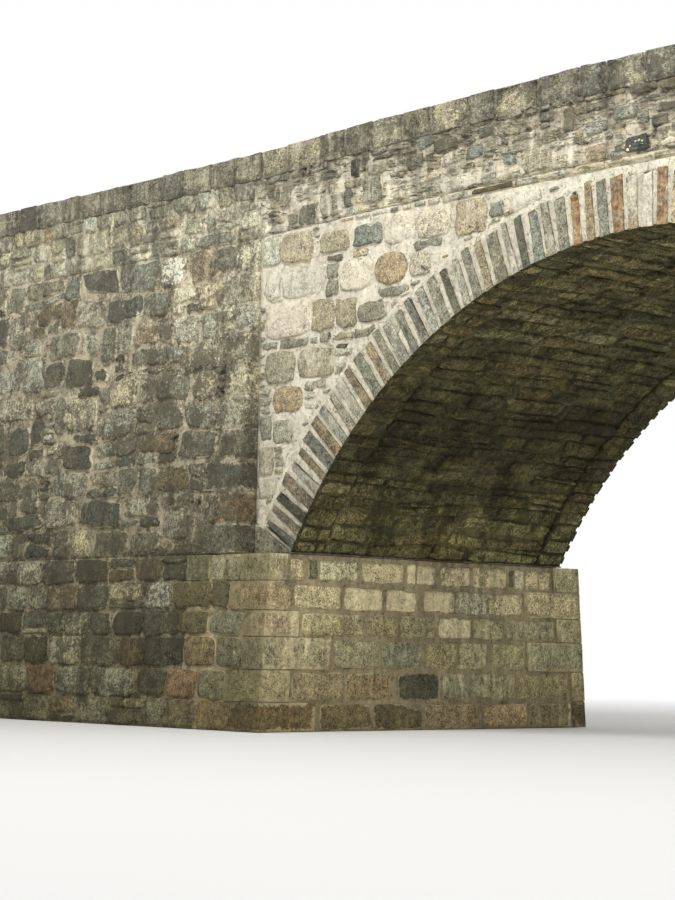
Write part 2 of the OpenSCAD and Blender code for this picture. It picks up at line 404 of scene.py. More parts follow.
def block_in_wall(work, wall, s, t, d, kind, rng, **settings):
    """A block between two places along a wall, two heights and two depths."""
    start, end = np.array([s, t, d], float).T
    middle = (start + end) / 2
    rough_block(work, lambda a, b, c: wall(middle[0] + a, middle[1] + b, middle[2] + c),
                np.abs(end - start) / 2, kind, rng, **settings)


# mortar beds

def slab_faces(ns, nt, rough_back=False):
    """Faces of a closed slab over a front and a back grid, and the points of the grids that it uses.

    A plain back has one face for each strip across the slab."""
    front, rear = np.arange(2 * (ns + 1) * (nt + 1)).reshape(2, ns + 1, nt + 1).tolist()
    faces = []
    for i, j in itertools.product(range(ns), range(nt)):
        faces.append((front[i][j], front[i + 1][j], front[i + 1][j + 1], front[i][j + 1]))
        if rough_back:
            faces.append((rear[i][j], rear[i][j + 1], rear[i + 1][j + 1], rear[i + 1][j]))
    for i in range(ns):
        faces.append((rear[i][0], rear[i + 1][0], front[i + 1][0], front[i][0]))
        faces.append((front[i][nt], front[i + 1][nt], rear[i + 1][nt], rear[i][nt]))
        if not rough_back:
            left = rear[0] if i == 0 else (rear[i][0], rear[i][nt])
            right = rear[ns][::-1] if i == ns - 1 else (rear[i + 1][nt], rear[i + 1][0])
            faces.append((*left, *right))
    for j in range(nt):
        faces.append((front[0][j], front[0][j + 1], rear[0][j + 1], rear[0][j]))
        faces.append((rear[ns][j], rear[ns][j + 1], front[ns][j + 1], front[ns][j]))
    kept = sorted({k for face in faces for k in face})
    lookup = {k: i for i, k in enumerate(kept)}
    return [tuple(lookup[k] for k in face) for face in faces], kept


def mortar_bed(work, wall, s_span, bottom, top, back, cell=0.09, face=MORTAR_BACK, swell=0.007,
               far_face=None):
    """A closed body of mortar with an uneven face. bottom and top are heights, or functions of s.

    far_face gives the back an uneven face of its own, that far inside the body."""
    ns = max(2, int(round((s_span[1] - s_span[0]) / cell)))
    s = np.linspace(*s_span, ns + 1)
    low, high = (edge(s) if callable(edge) else np.full(ns + 1, edge) for edge in (bottom, top))
    nt = max(2, int(round(float(np.max(high - low)) / cell)))
    share = np.linspace(0, 1, nt + 1)
    grid_s = np.repeat(s, nt + 1)
    grid_t = (low[:, None] * (1 - share) + high[:, None] * share).ravel()

    def uneven(inset, shift):
        return np.maximum(inset + swell * crags(spaced(grid_s, grid_t, 0.0) + shift, 0.16, 3) * 1.3, 0.002)

    rough_back = far_face is not None
    front = wall(grid_s, grid_t, uneven(face, back))
    rear = wall(grid_s, grid_t, back - uneven(far_face, -9) if rough_back else np.full(len(grid_s), back))
    faces, kept = slab_faces(ns, nt, rough_back)
    if not is_mirrored(wall, (sum(s_span) / 2, (low.mean() + high.mean()) / 2, 0)):
        faces = [corners[::-1] for corners in faces]
    work.add(np.concatenate([front, rear])[kept], faces, MORTAR, 2.0)


# courses

def cell_of(s, t, kind, slope=(0.0, 0.0), **more):
    """One stone's room in a wall: its ends, its bed and top, its kind and how far its ends lean."""
    return dict(s=s, t=t, kind=kind, slope=slope, **more)


def course_cells(levels, start, end, lengths, rng, mix, split=0.1, slope=0.03):
    """Cells of masonry in courses. start and end are the same for all courses, or one for each."""
    cells = []
    count = len(levels) - 1
    for (t0, t1), s0, s1 in zip(itertools.pairwise(levels), np.broadcast_to(start, count),
                                np.broadcast_to(end, count)):
        height = t1 - t0
        scale = min(1.3, max(0.6, height / 0.3)) if lengths[1] > 0.5 else 1.0
        stations = [s0]
        while True:
            length = rng.uniform(*lengths) * scale
            if stations[-1] + length > s1 - lengths[0] * 0.6:
                break
            stations.append(stations[-1] + length)
        stations.append(s1)
        leans = [0.0, *rng.uniform(-slope, slope, len(stations) - 2), 0.0]
        for j, (a, b) in enumerate(itertools.pairwise(stations)):
            if b - a < 0.03:
                continue
            beds = [t0, t1]
            if rng.random() < split and height > 0.16:
                beds.insert(1, t0 + height * rng.choice([0.3, 0.38, 0.55, 0.68]))
            for low, high in itertools.pairwise(beds):
                share = (high - low) / height
                cells.append(cell_of((a, b), (low, high), pick(mix, rng),
                                     (leans[j] * share, leans[j + 1] * share)))
    return cells


def remainder(cell, s, t, least):
    """The largest part of a cell that a chosen stone leaves beside, under or over itself."""
    (a, b), (low, high) = cell["s"], cell["t"]
    parts = [((a, min(b, s[0])), (low, high)), ((max(a, s[1]), b), (low, high)),
             ((a, b), (low, min(high, t[0]))), ((a, b), (max(low, t[1]), high))]
    best, most = None, 0.0
    for along, upright in parts:
        wide, tall = along[1] - along[0], upright[1] - upright[0]
        if min(wide, tall) > least and wide * tall > most:
            best, most = dict(cell, s=along, t=upright, slope=(0.0, 0.0)), wide * tall
    return best


def set_in(cells, s, t, kind, least=0.07, **more):
    """Puts one chosen stone among the cells and trims those that it touches."""
    kept = []
    for cell in cells:
        (a, b), (low, high) = cell["s"], cell["t"]
        if b <= s[0] + 0.005 or a >= s[1] - 0.005 or high <= t[0] + 0.005 or low >= t[1] - 0.005:
            kept.append(cell)
            continue
        rest = remainder(cell, s, t, 0.03 if cell.get("placed") else least)
        if rest:
            kept.append(rest)
    return kept + [cell_of(s, t, kind, placed=True, **more)]


def fill_slivers(cells, rng, mix, thin=0.1):
    """Divides tall narrow cells into small stones one above the other, and long flat ones side by side."""
    done = []
    for cell in cells:
        (a, b), (low, high) = cell["s"], cell["t"]
        wide, tall = b - a, high - low
        if cell.get("placed") or min(wide, tall) > thin * 2.2:
            done.append(cell)
            continue
        if min(wide, tall) < thin * 0.35:
            continue
        if tall > wide * 0.9:
            n = max(1, int(round(tall / (wide * rng.uniform(0.35, 0.7)))))
            parts = [((a, b), part) for part in itertools.pairwise(np.linspace(low, high, n + 1))]
        else:
            n = max(1, int(round(wide / (tall * rng.uniform(2.0, 4.0)))))
            parts = [(part, (low, high)) for part in itertools.pairwise(np.linspace(a, b, n + 1))]
        done += [cell_of(s, t, pick(mix, rng)) for s, t in parts]
    return done


def break_courses(cells, rng, mix, along, upright, count):
    """Sets some larger stones across the courses."""
    for _ in range(count):
        s, t = rng.uniform(*along), rng.uniform(*upright)
        wide, tall = rng.uniform(0.3, 0.62), rng.uniform(0.36, 0.5)
        cells = set_in(cells, (s, s + wide), (t, t + tall), pick(mix, rng), least=0.1,
                       squareness=rng.uniform(0.55, 0.9))
    return fill_slivers(cells, rng, mix)


def cell_corners(cell, warp, seed, borders):
    """The four corners of a cell, moved by a smooth unevenness that fades at the borders."""
    (a, b), (low, high) = cell["s"], cell["t"]
    lean_a, lean_b = (lean / 2 for lean in cell["slope"])
    corners = np.array([(a - lean_a, low), (b - lean_b, low), (b + lean_b, high), (a + lean_a, high)])
    place = spaced(*corners.T, 0.0)
    warp = warp * (0.2 if cell.get("placed") else 1.0)
    moves = []
    for along, (start, end), fade_over, broad, fine, seeds in (
            (corners[:, 0], borders[:2], 0.25, 0.55, 0.2, (seed, seed + 5)),
            (corners[:, 1], borders[2:], 0.12, 0.8, 0.25, (seed + 9, seed + 13))):
        fade = np.clip(np.minimum(along - start, end - along) / fade_over, 0, 1)
        moves.append(warp * (lumps(place, broad, seeds[0]) + 0.5 * lumps(place, fine, seeds[1])) * fade)
    return corners + np.stack(moves, 1)


def lay_cells(cells, works, wall, rng, borders, warp=0.03, seed=1, joint=0.026, skew=0.1, broken=0.28,
              **stone):
    """Lays a stone in every cell. works is the piece, or picks it by the middle of the stone.

    stone gives settings for the outline and the face of the stones."""
    shape = {key: stone.pop(key) for key in ("squareness", "corner", "wobble", "per_side") if key in stone}
    for cell in cells:
        placed = cell.get("placed", False)
        loose = 0.3 if placed else 1.0
        corners = cell_corners(cell, warp, seed, borders)
        corners = inset_corners(corners, joint / 2 * rng.uniform(0.6, 1.4) * loose, rng, skew * loose)
        if not placed and rng.random() < broken:
            # A broken corner
            k = rng.randint(4)
            corners[k] += (corners.mean(0) - corners[k]) * rng.uniform(0.12, 0.34)
        squareness = cell.get("squareness", shape["squareness"] + rng.uniform(-0.24, 0.08))
        outline = stone_outline(corners, rng, **dict(shape, squareness=squareness))
        outline[:, 1] = np.clip(outline[:, 1], borders[2] + 0.003, borders[3] - 0.003)
        if "clip" in cell:
            outline = cell["clip"](outline)
            if outline is None:
                continue
        work = works(*outline.mean(0)) if callable(works) else works
        lay_stone(work, wall, outline, cell["kind"], rng, layered=0.15 if placed else 1.0, **stone)


# faces of the bridge

def batter_out(z):
    return (WING_Z - z) / BATTER_RUN


def road_z(x):
    """Height of the road line."""
    return WING_Z + HUMP_RISE * np.clip(1 - (np.asarray(x) / JOINT_X) ** 2, 0, 1)


def battered_wall(sx, sy):
    return lambda s, t, d: spaced(sx * s, sy * (-(FACE_Y + batter_out(t)) + d), t)


def upright_wall(sx, sy):
    return lambda s, t, d: spaced(sx * s, sy * (-FACE_Y + d), t)


def river_wall(sx):
    return lambda s, t, d: spaced(sx * (-RIVER_X - d), s, t)


def end_face(sx):
    return lambda s, t, d: spaced(sx * (-END_X + d), s, t)


def parapet_face(sy, y=FACE_Y, inward=1):
    return lambda s, t, d: spaced(s, sy * (-y + inward * d), road_z(s) + t)


def vault(s, t, d):
    """The underside of the arch: s across the bridge, t along the curve."""
    angle = t / ARCH_R
    r = ARCH_R + d
    return spaced(r * np.sin(angle), s, ARCH_Z + r * np.cos(angle))


# node trees

class Wiring:
    """Adds nodes to a tree and joins them up."""

    def __init__(self, tree):
        self.tree = tree

    def __call__(self, kind, inputs=None, **settings):
        node = self.tree.nodes.new("ShaderNode" + kind)
        for key, value in settings.items():
            setattr(node, key, value)
        for key, value in (inputs or {}).items():
            socket = node.inputs[key]
            if isinstance(value, bpy.types.NodeSocket):
                self.tree.links.new(value, socket)
            else:
                socket.default_value = (*value, 1.0) if socket.type == "RGBA" else value
        return node.outputs

    def effect(self, group, **inputs):
        """Places a shared effect."""
        return self("Group", inputs, node_tree=group)

    def attribute(self, name):
        return self("Attribute", attribute_name=name)

    def place(self):
        return self("TexCoord")["Object"]

    def noise(self, place, scale, detail=3.0, rough=0.6, distortion=0.0):
        return self("TexNoise", {"Vector": place, "Scale": scale, "Detail": detail, "Roughness": rough,
                                 "Distortion": distortion})["Fac"]

    def ramp(self, value, low, high, to_low=0.0, to_high=1.0, shape="SMOOTHSTEP"):
        return self("MapRange", {"Value": value, "From Min": low, "From Max": high, "To Min": to_low,
                                 "To Max": to_high}, interpolation_type=shape)["Result"]

    def line(self, value, low, high, to_low, to_high):
        return self.ramp(value, low, high, to_low, to_high, "LINEAR")

    def math(self, operation, *values):
        return self("Math", dict(enumerate(values)), operation=operation)[0]

    def sum(self, a, b):
        return self.math("ADD", a, b)

    def times(self, a, b):
        return self.math("MULTIPLY", a, b)

    def weighted(self, *parts):
        """The sum of values, each times its weight."""
        products = [self.times(value, weight) for value, weight in parts]
        total = products.pop()
        while products:
            total = self.sum(products.pop(), total)
        return total

    def clamped(self, value):
        return self("Clamp", {"Value": value})[0]

    def mix(self, share, a, b, blend_type="MIX"):
        """A mix of two colours."""
        return self("Mix", {0: share, 6: a, 7: b}, data_type="RGBA", blend_type=blend_type)[2]

    def mix_values(self, share, a, b):
        return self("Mix", {0: share, 2: a, 3: b}, data_type="FLOAT")[0]

    def scaled(self, colour, level):
        return self("VectorMath", {0: colour, "Scale": level}, operation="SCALE")[0]

    def stretched(self, place, by):
        return self("VectorMath", {0: place, 1: by}, operation="MULTIPLY")[0]

    def finish(self, colour, roughness, height, strength=1.0, distance=0.01, **more):
        """Relief, surface and output of a material."""
        bump = self("Bump", {"Strength": strength, "Distance": distance, "Height": height})["Normal"]
        surface = self("BsdfPrincipled",
                       {"Base Color": colour, "Roughness": roughness, "Normal": bump, **more})
        self("OutputMaterial", {"Surface": surface["BSDF"]})


def emptied(block):
    """The cleared node tree of a material or world."""
    block.use_nodes = True
    block.node_tree.nodes.clear()
    return Wiring(block.node_tree)


def effect(**inputs):
    """Turns a function into a shader node group with named inputs and outputs, which materials share.

    The inputs are given with their defaults, a place without one."""
    def build(wire_up):
        tree = bpy.data.node_groups.new(wire_up.__name__.replace("_", " "), "ShaderNodeTree")
        for label, default in inputs.items():
            kind = "Vector" if default is None else "Float" if isinstance(default, float) else "Color"
            socket = tree.interface.new_socket(label, in_out="INPUT", socket_type="NodeSocket" + kind)
            if default is not None:
                socket.default_value = (*default, 1.0) if kind == "Color" else default
        given = tree.nodes.new("NodeGroupInput").outputs
        made = wire_up(Wiring(tree), *(given[label] for label in inputs))
        for label in made:
            kind = "Color" if label == "Colour" else "Float"
            tree.interface.new_socket(label, in_out="OUTPUT", socket_type="NodeSocket" + kind)
        out = tree.nodes.new("NodeGroupOutput").inputs
        for label, value in made.items():
            tree.links.new(value, out[label])
        return tree
    return build


@effect(Place=None, Tint=(0.3, 0.3, 0.3), Speckle=0.4, Rust=0.1, Contrast=1.0)
def stone_grain(wire, place, tint, speckle, rust, contrast):
    """Blotches, grain, crystals and rust of a stone."""
    blotch = wire.noise(place, 6, 8, 0.7, 0.5)
    grain = wire.noise(place, 17, 6, 0.78)
    crystal = wire.noise(place, 62, 3, 0.75)
    swing = wire.weighted((blotch, 1.7), (grain, 2.6), (crystal, 3.6))
    swing = wire.times(wire.sum(swing, -3.95), contrast)
    colour = wire.scaled(tint, wire.math("MAXIMUM", wire.sum(swing, 1.0), 0.2))
    speckle = wire.clamped(speckle)
    dark_spot = wire.ramp(wire.noise(place, 40, 3, 0.65), 0.46, 0.4)
    colour = wire.mix(wire.times(wire.times(dark_spot, speckle), 0.55), colour, (0.06, 0.058, 0.048))
    pale_spot = wire.ramp(wire.noise(wire.stretched(place, (1.0, 1.2, 0.9)), 36, 3, 0.65), 0.55, 0.61)
    colour = wire.mix(wire.times(wire.times(pale_spot, speckle), 0.55), colour, wire.scaled(tint, 1.6))
    stain = wire.sum(wire.noise(place, 8, 5, 0.65, 0.8), wire.times(rust, 0.3))
    stain = wire.clamped(wire.times(wire.ramp(stain, 0.56, 0.74), wire.times(rust, 1.1)))
    rusty = wire.mix(wire.ramp(grain, 0.4, 0.6), (0.13, 0.065, 0.03), (0.44, 0.26, 0.11))
    return {"Colour": wire.mix(stain, colour, rusty),
            "Height": wire.weighted((blotch, 0.45), (grain, 0.33), (crystal, 0.22))}


@effect(Place=None, Colour=(0.5, 0.45, 0.35), Soot=0.3)
def lime_mortar(wire, place, colour, soot):
    """Sandy lime mortar, uneven in tone, ridged and pitted, with soot in the pits and painted shadow in thin
    cracks.
    """
    patch = wire.noise(place, 3.4, 7, 0.65)
    ridge = wire.noise(place, 15, 5, 0.65, 0.6)
    sand = wire.noise(place, 55, 3, 0.75)
    blend = wire.weighted((patch, 0.4), (ridge, 0.35), (sand, 0.25))
    colour = wire.scaled(colour, wire.line(blend, 0.36, 0.64, 0.62, 1.28))
    pits = wire.ramp(wire.noise(place, 26, 5, 0.75, 0.5), 0.42, 0.3)
    # Thin cracks, painted dark as their shadow
    bends = wire.math("ABSOLUTE", wire.math("SUBTRACT", wire.noise(place, 5.5, 4, 0.6, 0.9), 0.5))
    crease = wire.times(wire.ramp(bends, 0.011, 0.003), wire.ramp(wire.noise(place, 9, 3, 0.6), 0.48, 0.56))
    worn = wire.weighted((pits, soot), (crease, 0.5))
    return {"Colour": wire.mix(wire.clamped(worn), colour, (0.1, 0.088, 0.062)),
            "Height": wire.sum(blend, wire.weighted((pits, -0.35), (crease, -0.3)))}


@effect(Place=None, Edge=0.0, Reach=0.5)
def joint_smear(wire, place, edge, reach):
    """Where mortar lies over the edges of a stone."""
    ragged = wire.line(wire.noise(place, 19, 7, 0.74, 0.6), 0.3, 0.7, -0.55, 0.55)
    wide = wire.line(wire.noise(place, 2.9, 3, 0.55), 0.35, 0.65, -0.35, 0.35)
    edge = wire.sum(wire.sum(wire.sum(edge, ragged), wide), reach)
    return {"Mask": wire.ramp(edge, 0.85, 1.2)}


@effect(Place=None, Colour=(0.7, 0.65, 0.5), Amount=0.3, Runs=0.5)
def lime_bloom(wire, place, colour, amount, runs):
    """Pale lime washed out of the joints, in patches and in runs down the face."""
    chalk = wire.weighted((wire.noise(place, 9, 6, 0.75), 0.6), (wire.noise(place, 34, 4, 0.75), 0.4))
    patch = wire.noise(place, 4.2, 7, 0.68, 0.6)
    run = wire.noise(wire.stretched(place, (9.0, 9.0, 0.9)), 1.0, 5, 0.62)
    blend = wire.mix_values(runs, patch, run)
    return {"Colour": wire.scaled(colour, wire.line(chalk, 0.38, 0.6, 0.55, 1.15)),
            "Mask": wire.ramp(wire.sum(blend, wire.times(amount, 0.5)), 0.62, 0.74)}


@effect(Place=None, Amount=0.3, Runs=0.3)
def dark_growth(wire, place, amount, runs):
    """Dark crust and damp on old stone, in broken patches and runs."""
    patch = wire.noise(wire.stretched(place, (1.0, 1.0, 1.25)), 4.3, 9, 0.75, 0.4)
    fleck = wire.noise(place, 30, 4, 0.75)
    run = wire.noise(wire.stretched(place, (7.0, 7.0, 0.55)), 1.0, 5, 0.6)
    blend = wire.weighted((wire.mix_values(runs, patch, run), 0.68), (fleck, 0.32))
    region = wire.line(wire.noise(place, 1.5, 3, 0.55), 0.38, 0.62, -0.035, 0.035)
    blend = wire.sum(wire.sum(blend, region), wire.times(amount, 0.4))
    return {"Mask": wire.ramp(blend, 0.59, 0.66)}


@effect(Place=None, Colour=(0.5, 0.5, 0.5), Amount=0.0, Film=(0.2, 0.19, 0.11))
def deep_soil(wire, place, colour, amount, film):
    """Damp dirt that darkens low sides, and painted shade that darkens sheltered ones such as the undersides
    of the ring stones.
    """
    uneven = wire.line(wire.noise(place, 5, 6, 0.65), 0.35, 0.65, -0.03, 0.3)
    amount = wire.clamped(wire.times(amount, wire.sum(uneven, 1.0)))
    patches = wire.line(wire.noise(place, 12, 8, 0.8, 0.5), 0.38, 0.62, 0.2, 2.6)
    crumbs = wire.line(wire.noise(place, 30, 6, 0.85), 0.4, 0.6, 0.35, 1.75)
    dull = wire.mix(1.0, colour, (0.4, 0.37, 0.28), "DARKEN")
    # Dark colour for damp dirt, and for painted shade where a ring stone is sheltered
    mud = wire.scaled((0.06, 0.056, 0.025), patches)
    dirty = wire.mix(0.35, wire.stretched(dull, film), mud)
    return {"Colour": wire.mix(amount, colour, wire.scaled(dirty, crumbs))}


@effect(Place=None, Amount=0.3, Size=14.0)
def lichen_spots(wire, place, amount, size):
    """Small round lichen spots in loose clusters."""
    away = wire("TexVoronoi", {"Vector": place, "Scale": size, "Randomness": 1.0})["Distance"]
    frayed = wire.line(wire.noise(place, 34, 5, 0.8), 0.3, 0.7, -0.35, 0.35)
    spot = wire.ramp(wire.sum(away, frayed), 0.34, 0.22)
    cluster = wire.ramp(wire.sum(wire.noise(place, 2.6, 5, 0.7), wire.times(amount, 0.35)), 0.58, 0.7)
    ragged = wire.ramp(wire.noise(place, 70, 3, 0.7), 0.42, 0.55)
    return {"Mask": wire.times(wire.times(spot, cluster), ragged)}


@effect(Place=None, Edge=0.0, Amount=0.3)
def pale_rims(wire, place, edge, amount):
    """Old pointing left in a broken pale line round the stones."""
    edge = wire.sum(edge, wire.line(wire.noise(place, 16, 4, 0.7), 0.3, 0.7, -0.35, 0.35))
    band = wire.times(wire.ramp(edge, 0.4, 0.65), wire.ramp(edge, 1.7, 1.3))
    where = wire.sum(wire.noise(place, 2.3, 5, 0.7), wire.times(amount, 0.4))
    return {"Mask": wire.times(band, wire.ramp(where, 0.58, 0.65))}


@effect(Place=None, Amount=0.0)
def thin_layers(wire, place, amount):
    """Painted shade in the open beds between thin sheets of layered stone."""
    broad = wire.noise(wire.stretched(place, (3.2, 3.2, 13.0)), 1.0, 6, 0.7, 1.2)
    fine = wire.noise(wire.stretched(place, (8.0, 8.0, 34.0)), 1.0, 4, 0.7, 0.8)
    blend = wire.weighted((broad, 0.5), (fine, 0.5))
    return {"Mask": wire.times(wire.ramp(blend, 0.455, 0.4), amount)}


@effect(Place=None, Colour=(0.5, 0.5, 0.5), Strength=0.2)
def weather_runs(wire, place, colour, strength):
    """Broad darker and paler runs down a wall."""
    broad = wire.noise(wire.stretched(place, (3.4, 3.4, 0.5)), 1.0, 4, 0.6)
    narrow = wire.noise(wire.stretched(place, (10.0, 10.0, 1.6)), 1.0, 5, 0.68)
    level = wire.line(wire.weighted((broad, 0.55), (narrow, 0.45)), 0.4, 0.6, -1.0, 1.0)
    return {"Colour": wire.scaled(colour, wire.sum(wire.times(level, strength), 1.0))}


# materials

def masonry(name, mortar, reach, lime, growth, growth_strength, relief, soot=0.3, contrast=1.0, layered=1.0,
            lime_runs=0.4, lime_colour=(0.72, 0.67, 0.52), lime_strength=0.75, lime_on_joints=1.0,
            growth_runs=0.3, growth_colour=(0.07, 0.066, 0.05), low_growth=0.0, growth_z=(0.0, 1.0),
            lichen=0.2, lichen_colour=(0.5, 0.48, 0.38), lichen_size=14.0, rims=0.0,
            rim_colour=(0.62, 0.55, 0.4), layers=0.0, runs=0.0, low_cast=(1, 1, 1), high_cast=(1, 1, 1),
            cast_z=(0.4, 5.2), lap=0.2, film=(0.19, 0.172, 0.082)):
    """Stones and mortar of one wall, with their weathering.

    The tone and light values are what its colours are multiplied by at the two heights given: partly the
    wall's own tone, partly painted light and shade that make it brighter or darker high up and low down, as
    the light falls on it. lap is how far mortar stands over the stones, and film the tone of the dirt and
    of the painted shade under the ring stones."""
    material = bpy.data.materials.new(name)
    wire = emptied(material)
    place = wire.place()
    z = wire("SeparateXYZ", {"Vector": place})["Z"]
    laid = place if layered == 1.0 else wire.stretched(place, (1 / layered, 1 / layered, layered))
    traits = wire.attribute("traits")
    speckle, rust, washed = wire("SeparateColor", {"Color": traits["Color"]})
    edge = wire.attribute("edge")["Fac"]
    stone = wire.effect(stone_grain, Place=laid, Tint=wire.attribute("tint")["Color"], Speckle=speckle,
                        Rust=rust, Contrast=contrast)
    bed = wire.effect(lime_mortar, Place=laid, Colour=mortar, Soot=soot)
    smear = wire.effect(joint_smear, Place=laid, Edge=edge, Reach=reach)["Mask"]
    colour = wire.mix(smear, stone["Colour"], bed["Colour"])
    # Painted shadow: a thin dark line along the ragged edges where mortar lies over the stones
    brink = wire.times(wire.ramp(smear, 0.05, 0.3), wire.ramp(smear, 0.85, 0.5))
    colour = wire.mix(wire.times(brink, 0.3), colour, (0.09, 0.082, 0.06))
    if rims:
        rim = wire.effect(pale_rims, Place=place, Edge=edge, Amount=rims)["Mask"]
        colour = wire.mix(wire.times(rim, 0.85), colour, rim_colour)
    bloom = wire.effect(lime_bloom, Place=place, Colour=lime_colour, Runs=lime_runs,
                        Amount=wire.sum(washed, lime - 0.3))
    on_joints = wire.ramp(smear, 0.0, 1.0, lime_strength, lime_strength * lime_on_joints)
    colour = wire.mix(wire.times(bloom["Mask"], on_joints), colour, bloom["Colour"])
    amount = wire.ramp(z, *growth_z, growth + low_growth, growth) if low_growth else growth
    crust = wire.effect(dark_growth, Place=laid, Amount=amount, Runs=growth_runs)["Mask"]
    colour = wire.mix(wire.times(crust, growth_strength), colour, growth_colour)
    spots = wire.effect(lichen_spots, Place=place, Amount=lichen, Size=lichen_size)["Mask"]
    colour = wire.mix(wire.times(spots, 0.5), colour, lichen_colour)
    height = wire.mix_values(smear, stone["Height"], wire.sum(bed["Height"], lap))
    if layers:
        # Painted shade in the open beds between the thin sheets of stone
        beds = wire.effect(thin_layers, Place=place, Amount=wire.times(traits["Alpha"], layers))["Mask"]
        colour = wire.mix(beds, colour, (0.085, 0.078, 0.056))
        height = wire.sum(height, wire.times(beds, -0.35))
    if runs:
        colour = wire.effect(weather_runs, Place=place, Colour=colour, Strength=runs)["Colour"]
    # Painted light and shade: the colour is multiplied by height, brighter or darker as the light falls on
    # the wall, besides its own tone
    colour = wire.stretched(colour, wire.mix(wire.line(z, *cast_z, 0.0, 1.0), low_cast, high_cast))
    colour = wire.effect(deep_soil, Place=place, Colour=colour, Amount=wire.attribute("soil")["Fac"],
                         Film=film)["Colour"]
    wire.finish(colour, wire.ramp(crust, 0.0, 1.0, 0.92, 0.8), height, distance=relief,
                **{"Specular IOR Level": 0.25})
    return material


def gravel():
    """Compacted gravel with darker wheel tracks."""
    material = bpy.data.materials.new("compacted gravel")
    wire = emptied(material)
    place = wire.place()
    ground = wire.effect(stone_grain, Place=place, Tint=wire.attribute("tint")["Color"], Speckle=0.6,
                         Rust=0.15)
    away = wire("TexVoronoi", {"Vector": place, "Scale": 42.0})["Distance"]
    gaps = wire.ramp(away, 0.0, 0.5)
    colour = wire.mix(wire.times(gaps, 0.5), ground["Colour"], (0.14, 0.12, 0.09))
    crust = wire.effect(dark_growth, Place=place, Amount=0.1, Runs=0.0)["Mask"]
    colour = wire.mix(wire.times(crust, 0.4), colour, (0.1, 0.09, 0.06))
    wire.finish(colour, 0.93, wire.times(gaps, -1.0), strength=0.8, distance=0.012)
    return material


def packed_fill():
    """Earth and stone packed between the walls."""
    material = bpy.data.materials.new("packed fill")
    wire = emptied(material)
    bed = wire.effect(lime_mortar, Place=wire.place(), Colour=(0.2, 0.17, 0.12), Soot=0.6)
    wire.finish(bed["Colour"], 0.95, bed["Height"], strength=0.8, distance=0.03)
    return material


